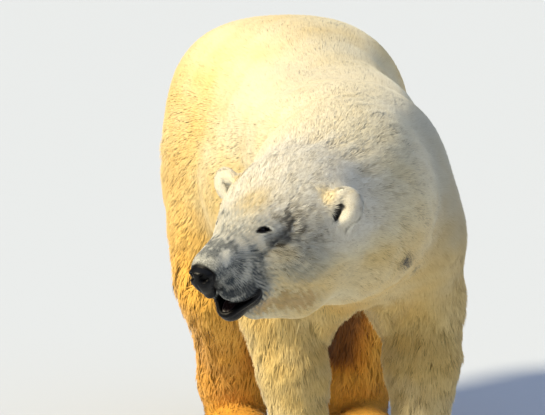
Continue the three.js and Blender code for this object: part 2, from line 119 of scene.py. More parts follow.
def smooth_min(a, b, k):
    """The lesser of a and b, rounded off by (k - |a - b|)^2 / 4k where they are nearly the same."""
    h = np.maximum(k - np.abs(a - b), 0)
    return np.minimum(a, b) - h * h * (0.25 / k)


def smooth_max(a, b, k):
    """The greater of a and b, rounded off in the same way."""
    return -smooth_min(-a, -b, k)


def to_local(place, p):
    """Points p as seen in a frame, a pair of its origin and the rows of its axes."""
    origin, axes = place
    return (p - origin) @ axes.T


def to_body(place, q):
    """Points q of a frame, in the body's frame."""
    origin, axes = place
    return origin + np.asarray(q, np.float32) @ axes


# ---- Frames ----
def frame_at(origin, *axes):
    """A frame: its origin and the rows of its axes."""
    return np.array(origin, np.float32), np.array(axes, np.float32)


def head_frame():
    """Forward is yawed to the right of -Y and dipped; left is tilted down."""
    forward = np.array(
        [
            -math.sin(HEAD_YAW) * math.cos(HEAD_DIP),
            -math.cos(HEAD_YAW) * math.cos(HEAD_DIP),
            -math.sin(HEAD_DIP),
        ]
    )
    level = np.array([math.cos(HEAD_YAW), -math.sin(HEAD_YAW), 0])
    left = level * math.cos(HEAD_TILT) + np.array([0, 0, -1]) * math.sin(HEAD_TILT)
    up = unit(np.cross(forward, left))
    return frame_at(HEAD_AT, forward, np.cross(up, forward), up)


BODY = frame_at((0, 0, 0), (1, 0, 0), (0, 1, 0), (0, 0, 1))
HEAD = head_frame()


def leaning(x, y, z, degrees):
    """A frame tipped about the body's X axis."""
    c, s = math.cos(math.radians(degrees)), math.sin(math.radians(degrees))
    return frame_at((x, y, z), (1, 0, 0), (0, c, s), (0, -s, c))


def ear_frame(side):
    """x out of the ear's hollow, z to its tip."""
    out = unit([0.92, side * EAR_TURN[side], 0.05])
    across = unit(np.cross([-0.05, side * 0.42, 0.9], out))
    tip = np.cross(out, across)
    axes = np.array([out, across, tip]) @ HEAD[1]
    return to_body(HEAD, EAR_MIDDLE[side]), axes


def eye_frame(side):
    """x out of the socket, y along the lids to the outer corner, z up."""
    out = unit([0.46, side * 0.86, 0.2])
    along = np.array([-0.84, side * 0.5, -0.08])
    along = unit(along - out * (along @ out))
    up = np.cross(out, along) * side
    axes = np.array([out, along, up]) @ HEAD[1]
    return to_body(HEAD, (EYE[0], side * EYE[1], EYE[2])), axes


EARS = {side: ear_frame(side) for side in SIDES}
EYES = {side: eye_frame(side) for side in SIDES}
low, high = (np.array(c) * 1000 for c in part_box("eye_left"))
SHIFT = (low + high) / 2 - EYES[1][0]


def metres(p):
    """Millimetres of the body's frame as metres of the model's."""
    return ((p + SHIFT) * 0.001).astype(np.float32)


# ---- Masses of flesh: each is a signed distance, a blend width, and its box ----
def ball(place, centre, radii, blend):
    """Ellipsoid: k0 (k0 - 1) / k1, where k0 and k1 are the lengths of a point divided once and
    twice by the half-axes."""
    middle = to_body(place, centre)
    axes = place[1]
    radii = np.array(radii, np.float32)

    def away(p):
        q = ((p - middle) @ axes.T) / radii
        k0 = size(q)
        return k0 * (k0 - 1) / np.maximum(size(q / radii), 1e-9)

    half = np.sqrt(((axes * radii[:, None]) ** 2).sum(0))
    return away, blend, middle - half, middle + half


def limb(place, a, b, ra, rb, blend):
    """Tapered limb: distance to the segment from a to b, less a radius that runs from ra to rb."""
    start, end = to_body(place, a), to_body(place, b)
    run = end - start

    def away(p):
        q = p - start
        t = np.clip(q @ run / (run @ run), 0, 1)
        return size(q - t[:, None] * run) - (ra + (rb - ra) * t)

    reach = max(ra, rb)
    return away, blend, np.minimum(start, end) - reach, np.maximum(start, end) + reach


def elbow_x(side, shoulder):
    """A thicker shoulder carries the elbow further out: 9 mm for each tenth."""
    return FORE_SHIFT + side * (182 + 90 * (shoulder - 1))


def torso():
    """Chest, belly, haunches, withers, back, rump, shoulder blades, hips and tail."""
    yield ball(BODY, (FORE_SHIFT, -230, 820), (196, 330, 250), 60)  # chest
    yield ball(BODY, (0, 130, 775), (292, 420, 288), 140)  # ribs and belly
    yield ball(BODY, (-8, 520, 798), (306, 340, 316), 140)  # loins and haunches
    yield ball(leaning(WITHERS_SHIFT, SHOULDER_Y, 980, -6), (0, 0, 0), (122, 270, 112), 120)
    yield ball(BODY, (0, 320, 915), (200, 400, 180), 160)  # back
    yield ball(BODY, (0, 790, 780), (160, 130, 200), 130)  # rump
    for side in SIDES:
        yield ball(BODY, (side * 120, -60, 958), (104, 210, 96), 90)  # behind the shoulder
        yield ball(BODY, (side * 125, 540, 950), (152, 230, 140), 80)  # hip
        blade = leaning(WITHERS_SHIFT + side * 108, -290, 950, -16)
        yield ball(blade, (0, 0, 0), (88, 165, 105), 80)
    yield limb(BODY, (0, 880, 800), (0, 935, 700), 60, 34, 60)  # tail


def shoulders():
    """Upper arms, from the shoulder blade down to the elbow."""
    for side, (_, y, _, thick) in FORE_FEET.items():
        upper = leaning(FORE_SHIFT + side * 128 * thick, -320, 785, -14)
        elbow = (elbow_x(side, thick), y + 90, 540)
        yield ball(upper, (0, 0, 0), (80 * thick, 150, 205), 90)
        yield limb(BODY, (FORE_SHIFT + side * 148 * thick, -390, 720), elbow, 98 * thick, 96, 80)
        yield ball(BODY, (FORE_SHIFT + side * 84, y + 60, 580), (54, 110, 92), 70)  # armpit


def thighs():
    """Each thigh, with the knee's muscle in front and the buttock behind."""
    for side, (x, y, thick, out) in HIND_FEET.items():
        knee = (x + side * out, y - 140, 440)
        yield ball(leaning(side * 180, 500, 690, 12), (0, 0, 0), (122, 225, 275), 120)
        yield limb(BODY, (side * 200, y - 120, 560), knee, 120, 98 * thick, 90)
        yield limb(BODY, (side * 165, 665, 640), (x + side * 10, y + 70, 330), 115, 78, 110)


def forearms():
    """Elbow to wrist to foot, thickest at the muscle below the elbow."""
    for side, (x, y, thick, shoulder) in FORE_FEET.items():
        elbow = (elbow_x(side, shoulder), y + 90, 540)
        muscle = ((elbow_x(side, shoulder) + x) / 2, y + 62, 400)
        wrist = (x + side * 3, y + 30, 190)
        yield limb(BODY, elbow, muscle, 98 * thick, 92 * thick, 60)
        yield limb(BODY, muscle, wrist, 92 * thick, 70, 40)
        yield limb(BODY, wrist, (x, y, 70), 70, 66, 40)


def shanks():
    """Knee to heel to foot."""
    for side, (x, y, thick, out) in HIND_FEET.items():
        heel = (x + side * 2, y + 10, 150)
        yield limb(BODY, (x + side * out, y - 130, 440), heel, 98 * thick, 86, 70)
        yield limb(BODY, heel, (x, y + 20, 70), 86, 68, 70)


def toe_at(x, y, i):
    """Toes lie on an arc, 35 mm apart: toe i is set back by 9 i^2."""
    return x + i * 35, y + 9 * i * i, 34


PAWS = [  # name, side, foot's x, toes' y, length of foot behind the toes
    *[("fore", side, x, y - 105, 150) for side, (x, y, _, _) in FORE_FEET.items()],
    *[("hind", side, x, y - 160, 250) for side, (x, y, _, _) in HIND_FEET.items()],
]


def paws():
    """Each paw: a flat sole, its raised front, and five toes."""
    for _, _, x, y, back in PAWS:
        yield ball(BODY, (x, y + back / 2, 34), (78, 40 + back / 2, 52), 50)
        yield ball(BODY, (x, y + 40, 50), (84, 62, 46), 40)
        for i in TOES:
            yield ball(BODY, toe_at(x, y, i), (23, 40, 38), 14)


def neck():
    """Two chains of limbs, one above the other, that bend to the right."""
    yield limb(BODY, (0, -420, 870), (-80, -690, 905), 185, 178, 180)
    yield limb(BODY, (-80, -690, 905), (-205, -915, 923), 178, 152, 160)
    yield limb(BODY, (5, -470, 800), (-110, -770, 856), 165, 138, 160)
    yield limb(BODY, (-110, -770, 856), (-235, -940, 828), 138, 112, 120)


def skull():
    """Braincase, forehead, cheeks, brows, muzzle and upper lips."""
    yield ball(HEAD, (-10, 0, -70), (148, 138, 112), 100)
    yield ball(HEAD, (55, 0, -38), (130, 98, 76), 60)
    for side in SIDES:
        yield ball(HEAD, (4, side * 72, -105), (126, 79, 105), 50)  # cheek
        yield ball(HEAD, (138, side * 34, -36), (60, 38, 42), 40)  # brow
    yield limb(HEAD, (150, 0, -76), (306, 0, -89), 76, 47, 45)  # muzzle
    yield ball(HEAD, (326, 0, -91), (34, 35, 31), 12)  # its end, under the nose pad
    for side in SIDES:
        yield ball(HEAD, (246, side * 28, -137), (68, 32, 45), 25)  # upper lip


def lower_jaw():
    """Jaw, chin, lower lips and throat."""
    yield limb(HEAD, (70, 0, -160), (228, 0, -200), 68, 32, 40)
    yield ball(HEAD, (237, 0, -212), (38, 31, 33), 20)
    for side in SIDES:
        yield ball(HEAD, (185, side * 32, -178), (60, 34, 36), 30)
    yield limb(HEAD, (145, 0, -237), (15, 0, -226), 34, 91, 50)


def ears():
    """A flattened round for each ear."""
    for side, place in EARS.items():
        yield ball(place, (-4, 0, 0), np.array((24, 45, 50)) * EAR_SIZE[side], 20)


FLESH = [*torso(), *shoulders(), *thighs(), *forearms(), *shanks()]
FLESH += [*paws(), *neck(), *skull(), *lower_jaw(), *ears()]
FAR = 1000.0  # distance given where no mass is near
CHUNK = 6000  # points worked out at a time


def melted(p, masses):
    """Masses joined one after another by smooth_min; a mass is passed over for points far from it."""
    low, high = p.min(0), p.max(0)
    d = np.full(len(p), FAR, np.float32)
    for away, blend, box_low, box_high in masses:
        reach = blend + 60
        if (box_low - reach < high).all() and (box_high + reach > low).all():
            d = smooth_min(d, away(p), max(blend, 1))
    return d


def in_chunks(field, p):
    """field worked out for p a few thousand points at a time."""
    parts = [field(p[n : n + CHUNK]) for n in range(0, len(p), CHUNK)]
    return np.concatenate(parts) if parts else np.zeros(0, np.float32)


def coat_surface(p):
    """The bear out to the tips of its coat: negative inside."""
    return melted(p, FLESH)


TETRA = np.array([(1, 1, 1), (1, -1, -1), (-1, 1, -1), (-1, -1, 1)], np.float32)


def with_slope(field, p):
    """field's value and slope at p, from four points at a tetrahedron's corners, 1 mm each way."""
    value = np.zeros(len(p), np.float32)
    slope = np.zeros((len(p), 3), np.float32)
    for corner in TETRA:
        there = in_chunks(field, p + corner)
        value += there / 4
        slope += there[:, None] * corner / 4
    return value, slope


def slide_onto(field, p, most):
    """Newton's method, twice: p moves along the slope by -value / slope^2, at most `most` mm."""
    for _ in range(2):
        value, slope = with_slope(field, p)
        steep = np.maximum(np.einsum("ij,ij->i", slope, slope), 0.2)
        move = -value / steep
        far = np.abs(move) * np.sqrt(steep)
        move = np.where(far > most, move * most / np.maximum(far, 1e-6), move)
        p = p + slope * move[:, None]
    return p.astype(np.float32)


# ---- The skin ----
def near(place, p):
    """Distance from p to a frame's origin."""
    return size(p - place[0])


CHEEK_TUFT = ((150, 90, -93), (40, 36, 30))  # middle and half-axes of the shaggy place on a cheek


def patch(p, middle, half_axes, full=0.5):
    """1 out to `full` times an ellipsoid's half-axes, fading out at 1.3 times them."""
    return ease(size((p - middle) / half_axes), 1.3, full)


def folded(h):
    """Points of the head's frame with both sides laid on the left."""
    return np.stack([h[:, 0], np.abs(h[:, 1]), h[:, 2]], 1)


def coat_depth(p, h):
    """How far the skin lies under the tips of the coat; h is p in the head's frame."""
    up = p[:, 2]
    depth = 11 + 8 * ease(up, 950, 600)  # deeper low down on the flanks
    depth = mix(depth, 12, ease(up, 560, 420))  # legs
    depth = mix(depth, 4, ease(up, 190, 110))  # paws
    depth = mix(depth, 10, ease(h[:, 0], -620, -380) * ease(up, 500, 620))  # neck
    depth = mix(depth, 7, ease(h[:, 0], -170, -40))  # back of the head
    depth = mix(depth, 2, ease(h[:, 0], 80, 190))  # face
    depth = mix(depth, 10, patch(folded(h), *CHEEK_TUFT))
    depth = mix(depth, 1, ease(h[:, 0], 230, 300))  # muzzle
    for side in SIDES:
        depth = mix(depth, 2.5, ease(near(EYES[side], p), 60, 30))
        depth = mix(depth, 5.5, ease(near(EARS[side], p), 85, 60))
    return depth


def almond(y, z, half, over, under):
    """Inside of two arcs that meet at y = +-half and rise `over` and fall `under` between them."""
    d = np.full(len(y), -FAR, np.float32)
    for rise, way in ((over, 1), (under, -1)):
        radius = (half * half + rise * rise) / (2 * rise)
        d = np.maximum(d, np.hypot(y, z * way - (rise - radius)) - radius)
    return d


LID_OPENING = (17.0, 8.4, 1.6)  # half its length, its rise over the corners, its fall under them
LID_DEEP = 2.6  # how far the lids stand off the eyeball
LID_FOLD = ball(BODY, (8, -2, -15), (9, 17, 7), 7)  # the pouch under the lower lid


def with_lids(d, side, p):
    """Lids over the eyeball: a shell round it, opened by an almond, with a rounded rim."""
    e = to_local(EYES[side], p)
    ball_d = size(e) - EYE_R
    opening = almond(e[:, 1], e[:, 2], *LID_OPENING)
    d = smooth_min(d, ball_d - LID_DEEP, 7)
    d = smooth_max(d, -smooth_max(opening, 4 - e[:, 0], 2), 1.5)
    rim = np.hypot(ball_d - 1, opening - 0.5) - 2.1
    d = smooth_min(d, np.maximum(rim, 2 - e[:, 0]), 2.5)
    return smooth_min(d, LID_FOLD[0](e), LID_FOLD[1])


def lip_planes(h):
    """How far h lies under the upper lip's plane and above the lower lip's."""
    ahead, above = h[:, 0] - MOUTH_CORNER[0], h[:, 2] - MOUTH_CORNER[1]
    under = ahead * math.sin(UPPER_LIP) - above * math.cos(UPPER_LIP)
    over = above * math.cos(LOWER_LIP) - ahead * math.sin(LOWER_LIP)
    return under, over


# These two are worked out for points of the head's frame.
PALATE = ball(BODY, (262, 0, -174), (62, 22, 15), 0)
JAW_TROUGH = ball(BODY, (236, 0, -204), (38, 18, 10), 0)


def with_mouth(d, h):
    """The gape is a wedge between the lips' planes. A rounded lip runs along each edge: a tube
    round the line where the plane meets the face. The palate and the jaw are hollowed inside."""
    under, over = lip_planes(h)
    ahead = ease(h[:, 0], MOUTH_CORNER[0] - 14, MOUTH_CORNER[0] + 16)
    outer = d
    gape = np.maximum(-under, -over)
    d = smooth_max(d, -gape, 2.5)
    upper = np.hypot(outer + 3.0, under + 1.0) - 4.2 * ahead
    lower = np.hypot(outer + 4.0, over + 1.5) - 6.0 * ahead
    d = smooth_min(smooth_min(d, upper, 3), lower, 3)
    for hollow in (PALATE, JAW_TROUGH):
        d = smooth_max(d, -hollow[0](h), 4)
    return d


# And these for points of an ear's frame, as in_ear gives them.
EAR_HOLLOW = ball(BODY, (22, -5, -6), (15, 25, 31), 0)
EAR_PIT = limb(BODY, (10, -5, 4), (4, -9, -24), 6, 8, 0)


def in_ear(side, p):
    """p in an ear's frame, at the ear's usual size and as if on the left."""
    q = to_local(EARS[side], p) / EAR_SIZE[side]
    q[:, 1] *= side
    return q


def ear_pit(q, p):
    """The dark slit into the ear, with a ragged edge."""
    return EAR_PIT[0](q) + 2.5 * wobble(p, 17, 9)


def skin_surface(p):
    """The skin: the coat's surface less the coat's depth, with lids, lips and ears opened in it."""
    h = to_local(HEAD, p)
    d = coat_surface(p) + coat_depth(p, h)
    if h[:, 0].max() > -90:
        for side in SIDES:
            if near(EYES[side], p).min() < 80:
                d = with_lids(d, side, p)
            if near(EARS[side], p).min() < 150:
                q = in_ear(side, p)
                d = smooth_max(d, -EAR_HOLLOW[0](q), 5)
                d = smooth_max(d, -ear_pit(q, p), 5)
    if h[:, 0].max() > 150:
        d = with_mouth(d, h)
    return np.maximum(d, -p[:, 2])


# ---- Meshing ----
# The skin's grid is finest round the face and coarser with distance from it.
FACE = to_body(HEAD, (215, 0, -90))
FINE, COARSE = ((3.4, 21.0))  # cell at the face and at the hindquarters
FINE_REACH = 165  # mm from the face's middle
GROWTH = 0.019  # mm of cell per mm of distance, where FINE is 3
ROOM = 30  # mm left round the model
BLOCK = 4  # grid cells a side that are ruled out at a time
SAFE = 1.25  # block diagonals from the surface past which a block is ruled out


def cell_at(distance):
    """FINE out to FINE_REACH, then growing evenly with distance up to COARSE."""
    return np.clip(FINE + GROWTH * (FINE / 3) * (distance - FINE_REACH), FINE, COARSE)


# Distances from FACE in mm, and in grid steps.
radii = np.arange(0, 2600, 1.0)
steps = np.cumsum(1 / cell_at(radii))
steps -= steps[0]


def spread(u):
    """Grid points as points in space: their distance from FACE grows ever faster with the grid's."""
    rho = size(u)
    stretch = np.interp(rho, steps, radii) / np.maximum(rho, 1e-6)
    return (FACE + u * stretch[:, None]).astype(np.float32)


def gathered(reach):
    """Grid distance along an axis that covers `reach` mm."""
    return np.interp(abs(reach), radii, steps) * np.sign(reach)


def grid_values(field):
    """field on the whole grid. Blocks whose corners all lie far from the surface only keep a sign."""
    low, high = (np.array(c) * 1000 - SHIFT for c in cad_box)
    start = np.array([gathered(v) for v in low - ROOM - FACE])
    end = np.array([gathered(v) for v in high + ROOM - FACE])
    blocks = np.ceil((end - start) / BLOCK).astype(int)
    shape = blocks * BLOCK + 1
    coarse = np.stack(np.meshgrid(*[np.arange(n + 1) * BLOCK for n in blocks], indexing="ij"), -1)
    where = spread(coarse.reshape(-1, 3) + start)
    rough = in_chunks(field, where).reshape(coarse.shape[:3])
    cell = cell_at(size(where - FACE)).reshape(rough.shape)
    close = np.abs(rough) < SAFE * BLOCK * math.sqrt(3) * cell
    corners = list(itertools.product((0, 1), repeat=3))
    cut = [tuple(slice(c, n + c) for c, n in zip(corner, blocks)) for corner in corners]
    active = np.logical_or.reduce([close[c] for c in cut])
    sign = np.where(rough[cut[0]] < 0, -FAR, FAR).astype(np.float32)
    value = np.full(shape, FAR, np.float32)
    inner = sign
    for axis in range(3):
        inner = np.repeat(inner, BLOCK, axis)
    value[:-1, :-1, :-1] = inner
    index = np.argwhere(active) * BLOCK
    for offset in itertools.product(range(BLOCK + 1), repeat=3):
        at = tuple((index + offset).T)
        fresh = np.abs(value[at]) == FAR
        value[at] = np.where(fresh, np.nan, value[at])
    at = np.argwhere(np.isnan(value))
    value[tuple(at.T)] = in_chunks(field, spread((at + start).astype(np.float32)))
    return value, start


def surface_net(value):
    """Surface nets: one vertex in each cell that the surface crosses, at the mean of the crossings
    on its edges, and one four-sided face round each crossed edge, facing out."""
    inside = value < 0
    shape = np.array(value.shape) - 1
    corners = [
        inside[tuple(slice(c, c + n) for c, n in zip(corner, shape))]
        for corner in itertools.product((0, 1), repeat=3)
    ]
    cells = np.argwhere(np.logical_or.reduce(corners) & ~np.logical_and.reduce(corners))
    number = np.full(shape, -1, np.int64)
    number[tuple(cells.T)] = np.arange(len(cells))
    total = np.zeros((len(cells), 3))
    count = np.zeros((len(cells), 1))
    faces = []
    for axis in range(3):
        step = np.eye(3, dtype=int)[axis]
        u, v = np.eye(3, dtype=int)[(axis + 1) % 3], np.eye(3, dtype=int)[(axis + 2) % 3]
        for a, b in itertools.product((0, 1), repeat=2):
            offset = a * u + b * v
            near_end = value[tuple((cells + offset).T)]
            far_end = value[tuple((cells + offset + step).T)]
            crossed = ((near_end < 0) != (far_end < 0))[:, None]
            t = (near_end / np.where(near_end == far_end, 1, near_end - far_end))[:, None]
            total += crossed * (offset + t * step)
            count += crossed
        span = [slice(None), slice(None), slice(None)]
        span[axis] = slice(0, -1)
        ahead = list(span)
        ahead[axis] = slice(1, None)
        edge = np.argwhere(inside[tuple(span)] != inside[tuple(ahead)])
        edge = edge[((edge > 0) | (step == 1)).all(1) & (edge < shape).all(1)]
        around = [number[tuple((edge - o).T)] for o in (0 * u, u, u + v, v)]
        quad = np.stack(around, 1)
        outward = inside[tuple(edge.T)]
        faces.append(np.where(outward[:, None], quad, quad[:, ::-1]))
    return cells + total / count, np.concatenate(faces)


def new_piece(name, points, faces, material, slot=None, replaces=(), normals=None):
    """A mesh from points in metres and an array of faces with the same number of corners each."""
    mesh = bpy.data.meshes.new(name)
    faces = np.asarray(faces, np.int32)
    corners = faces.shape[1]
    mesh.vertices.add(len(points))
    mesh.vertices.foreach_set("co", np.asarray(points, np.float32).ravel())
    mesh.loops.add(faces.size)
    mesh.loops.foreach_set("vertex_index", faces.ravel())
    mesh.polygons.add(len(faces))
    mesh.polygons.foreach_set("loop_start", np.arange(0, faces.size, corners, dtype=np.int32))
    mesh.update(calc_edges=True)
    if normals is not None:
        attribute = mesh.attributes.new("custom_normal", "FLOAT_VECTOR", "POINT")
        attribute.data.foreach_set("vector", np.asarray(normals, np.float32).ravel())
    mesh.materials.append(material)
    piece = bpy.data.objects.new(name, mesh)
    bpy.context.scene.collection.objects.link(piece)
    if slot:
        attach(piece, "root")
    if replaces:
        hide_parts(*replaces)
    return piece


def paint(piece, name, values):
    """A colour attribute of three numbers for each vertex."""
    attribute = piece.data.attributes.new(name, "FLOAT_COLOR", "POINT")
    rgba = np.ones((len(values), 4), np.float32)
    rgba[:, :3] = values
    attribute.data.foreach_set("color", rgba.ravel())


# ---- Markings, with painted light and shade: the same for skin and coat ----
# Strokes, each given by its ends in the head's frame, half its width, and how strong it is.
SCARS = [
    ((107, 82, 13), (116, 90, -1), 4, 0.5),
    ((116, 90, -1), (122, 98, -20), 9, 0.85),
    ((122, 98, -20), (133, 99, -38), 13, 0.88),
    ((133, 99, -38), (146, 96, -54), 14, 0.84),
    ((146, 96, -54), (176, 80, -58), 12, 0.74),
    ((176, 80, -58), (183, 74, -53), 8, 0.55),
    ((96, 104, -2), (100, 120, -30), 5, 0.5),
    ((100, 120, -30), (110, 120, -47), 7, 0.75),
    ((110, 120, -47), (122, 113, -62), 6, 0.65),
    ((71, 89, 27), (85, 100, 11), 4, 0.5),
    ((35, 107, 28), (53, 123, 5), 3, 0.35),
]
SHOULDER_SCARS = [  # in the body's frame
    ((52, -880, 783), (80, -820, 754), 19, 1.0),
    ((106, -652, 714), (140, -634, 700), 12, 0.5),
]
# Where the short coat shows the dark skin: from the eye's inner corner to the mouth's, under the
# lid, over the upper lip, beside the nose and on the bridge. The last row, under the jaw, is
# painted shade under the jaw and cheek. These and the next tables are for both sides.
THIN_COAT_AND_SHADE = [
    ((209, 56, -33), (202, 66, -80), 11, 0.7),
    ((202, 66, -80), (183, 62, -143), 15, 0.9),
    ((200, 70, -70), (168, 85, -60), 10, 1.0),
    ((320, 33, -138), (297, 46, -152), 18, 1.0),
    ((297, 46, -152), (230, 60, -154), 18, 0.95),
    ((322, 28, -172), (292, 42, -182), 16, 1.0),
    ((292, 42, -182), (222, 60, -172), 14, 1.0),
    ((334, 38, -102), (314, 43, -76), 7, 0.85),
    ((226, 20, -18), (238, 12, -24), 12, 0.75),
    ((274, 6, -35), (288, 12, -40), 13, 0.84),
    ((348, -6, -53), (322, 0, -43), 24, 0.72),
    ((330, 16, -50), (322, 0, -45), 9, 0.7),
    ((322, 10, -44), (272, 28, -42), 27, 0.88),
    ((256, 26, -30), (236, 30, -26), 12, 0.4),
    ((349, 30, -70), (332, 36, -96), 8, 0.8),
    ((196, 12, -9), (216, 10, -15), 14, 0.5),
    ((166, 84, -22), (160, 88, -36), 9, 0.55),
    # Painted shade under the jaw and cheek.
    ((190, 48, -222), (60, 84, -240), 34, 0.42),
]
FAR_SIDE_GREY_AND_SHADE = [  # only on the right side: over the brow and in the ear
    ((178, -55, 0), (184, -54, -8), 9, 0.85),
    # Painted shade in the ear's hollow.
    ((14, -172, 4), (13, -150, -3), 8, 0.85),
]
# Where it is thick and pale: on the cheek below the eye, beside the nose's bridge. The first row,
# on the pouch under the lower lid, is a painted highlight.
THICK_AND_LIT = [
    # Painted highlight on the pouch under the lower lid.
    ((206, 64, -42), (192, 72, -58), 14, 1.0),
    ((172, 78, -96), (142, 92, -92), 15, 0.75),
    ((241, 36, -36), (236, 50, -58), 8, 0.45),
    ((292, 34, -50), (304, 42, -68), 9, 0.75),
    ((240, 60, -98), (254, 59, -117), 14, 0.3),
]
# Black painted into each ear's pit is painted shade in its opening, deeper in the left ear.
EAR_PIT_SHADE = {1: 0.95, -1: 0.65}  # how black the pit in each ear is
# Painted shade under the jaw: a brownish band from the mouth's corner back along the jaw, laid on as
# stain.
UNDER_JAW_SHADE = [
    ((190, 48, -222), (60, 84, -240), 38, 0.5),  # under the jaw
]
BARE_LIP = [
    ((336, 29, -108), (322, 29, -138), 10, 0.95),
    ((312, 40, -146), (236, 60, -152), 15, 0.4),
]


def wobble(p, wavelength, seed, slope=False):
    """A smooth pattern between about -1 and 1, a third of the sum of six sine waves in seeded
    directions; or its slope, as a vector of about that length."""
    draws = np.random.default_rng(seed)
    total = 0.0
    for way in unit(draws.normal(size=(6, 3))):
        phase = p @ way * (2 * math.pi / wavelength) + draws.uniform(0, 6.28)
        total = total + (np.cos(phase)[:, None] * way if slope else np.sin(phase))
    return total / 3.0


def stroke(p, a, b, half):
    """1 on the line from a to b, fading out over 0.3 to 1.8 times `half` from it."""
    a, b = np.array(a), np.array(b)
    t = np.clip((p - a) @ (b - a) / ((b - a) @ (b - a)), 0, 1)
    off = size(p - (a + t[:, None] * (b - a))) + 0.4 * half * wobble(p, 14, 7)
    return ease(off, half * 1.8, half * 0.3)


def strokes(p, table):
    """The strongest of a table's strokes at each point."""
    most = np.zeros(len(p), np.float32)
    for a, b, half, strength in table:
        most = np.maximum(most, strength * stroke(p, a, b, half))
    return most


def streaks(h):
    """A fine pattern on the face, drawn out along the hair, which fans out from the nose."""
    q = h - np.array([330, 0, -60], np.float32)
    r = size(q)[:, None]
    return wobble(q / r * 110 + r * np.array([0.15, 0.15, 0.2], np.float32), 4.5, 41)


def stain_with_shade(p, h, soft):
    """How much stain the coat has: most low on the hindquarters and inside the hind legs, less on the
    chest and forelegs, and a little under the head. Inside the hind legs it is partly stain and partly
    painted shade; under the head it is a painted warm shade, and under the jaw painted shade."""
    height, ahead = p[:, 2], h[:, 0]
    rear = ease(p[:, 1], -330, 330)
    low_down = np.interp(
        height, (150, 420, 560, 750, 950, 1120), (0.66, 0.6, 0.5, 0.42, 0.34, 0.24)
    )
    # Deeper inside and between the hind legs: partly stain, partly painted shade.
    inner = ease(np.abs(p[:, 0] - 30), 190, 90) * ease(height, 640, 480) * ease(height, 170, 250)
    stain = rear * low_down + 0.5 * rear * inner
    front = np.interp(height, (150, 450, 640, 800, 950), (0.27, 0.38, 0.38, 0.34, 0.16))
    stain = np.maximum(stain, front * ease(ahead, -100, -260))
    # A little yellow under the head: painted warm shade.
    throat = ease(h[:, 2], -70, -190) * ease(ahead, 205, 130) * ease(ahead, -330, -200)
    stain = np.maximum(stain, 0.3 * throat)
    stain = np.maximum(stain, strokes(folded(h), UNDER_JAW_SHADE))
    return np.clip(stain + 0.07 * soft * ease(stain, 0, 0.3), 0, 1)


def grey_skin_and_shade(p, h):
    """How far dark skin shows through: on the muzzle, round the eye, on the cheek and shoulder. Round
    the eye and on the cheek it is partly painted shade, and on the shoulder, under the jaw and in the
    right ear's hollow it is painted shade.
    """
    near_side = folded(h)
    grey = ease(h[:, 0], 120, 215) * (0.46 + 0.4 * ease(h[:, 2], -35, -85))
    # Round and under the eye: partly dark skin under thin coat, partly painted shade.
    grey = np.maximum(grey, 0.6 * patch(near_side, (165, 80, -60), (62, 40, 36)))
    # On the left shoulder: painted shade.
    grey = np.maximum(grey, 0.45 * patch(p, (190, -400, 900), (190, 330, 210)))
    # On the lower cheek: partly thin coat over dark skin, partly painted shade.
    grey = np.maximum(grey, 0.5 * patch(near_side, (95, 110, -115), (95, 60, 75)))
    face = ease(h[:, 0], 30, 150)
    grey = grey + (0.1 * wobble(p, 34, 6) + 0.1 * streaks(h)) * face
    grey = np.maximum(grey, np.maximum(strokes(near_side, THIN_COAT_AND_SHADE), strokes(h, FAR_SIDE_GREY_AND_SHADE)))
    grey = grey * (1 - strokes(near_side, THICK_AND_LIT)) * (1 - 0.95 * patch(near_side, *CHEEK_TUFT))
    return np.clip(grey + 0.08 * streaks(h) * face, 0, 1)


def bare_skin_and_pit_shade(p, h):
    """Where black skin is bare: scars, the lids' rims, the lips and under the nose pad; and black in
    the ears' pits, which is painted shade."""
    bare = np.maximum(strokes(h, SCARS), strokes(p, SHOULDER_SCARS))
    bare = np.maximum(bare, strokes(folded(h), BARE_LIP))
    for side in SIDES:
        e = to_local(EYES[side], p)
        opening = almond(e[:, 1], e[:, 2], *LID_OPENING)
        bare = np.maximum(bare, ease(opening, 4.5, 2) * ease(e[:, 0], -6, 2))
        # Black in the ear's pit: painted shade.
        bare = np.maximum(bare, EAR_PIT_SHADE[side] * ease(ear_pit(in_ear(side, p), p), 4, -1))
    under, over = lip_planes(h)
    lips = ease(h[:, 0], MOUTH_CORNER[0] - 4, MOUTH_CORNER[0] + 8)
    upper_lip = ease(under, -9, -4) * ease(over, -1, 1)
    corner = size((h[:, [0, 2]] - (MOUTH_CORNER[0] + 14, MOUTH_CORNER[1] - 12)) / (15, 22))
    bare = np.maximum(bare, ease(corner, 1.2, 0.8) * ease(np.abs(h[:, 1]), 25, 40))
    chin = 28 + 24 * ease(h[:, 0], 208, 248)
    lower_lip = ease(over, -chin - 4, -chin) * ease(under, -1, 1)
    bare = np.maximum(bare, lips * np.maximum(upper_lip, lower_lip))
    return np.maximum(bare, ease(in_chunks(nose_mass, p), 7, 3))


def yellowed(h, soft):
    """Yellow patches: on the forehead, in the cheek's tuft and before the ear."""
    near_side = folded(h)
    yellow = patch(h, (146, 8, 22), (54, 46, 50), 0.3)
    yellow = np.maximum(yellow, 0.6 * patch(near_side, *CHEEK_TUFT))
    yellow = np.maximum(yellow, 0.8 * patch(near_side, (10, 128, 20), (26, 24, 30)))
    return np.clip(yellow + 0.3 * ease(soft, 0.1, 0.8), 0, 1)


def markings_and_painted_light(p):
    """How much stain, how thinly haired and how bare the coat is at p, and how yellow; these also
    carry painted shade and a painted highlight.
    """
    h = to_local(HEAD, p)
    soft = wobble(p, 190, 3) * 0.5 + wobble(p, 70, 4) * 0.3
    marks = np.stack([stain_with_shade(p, h, soft), grey_skin_and_shade(p, h), bare_skin_and_pit_shade(p, h)], 1)
    return marks, yellowed(h, soft)


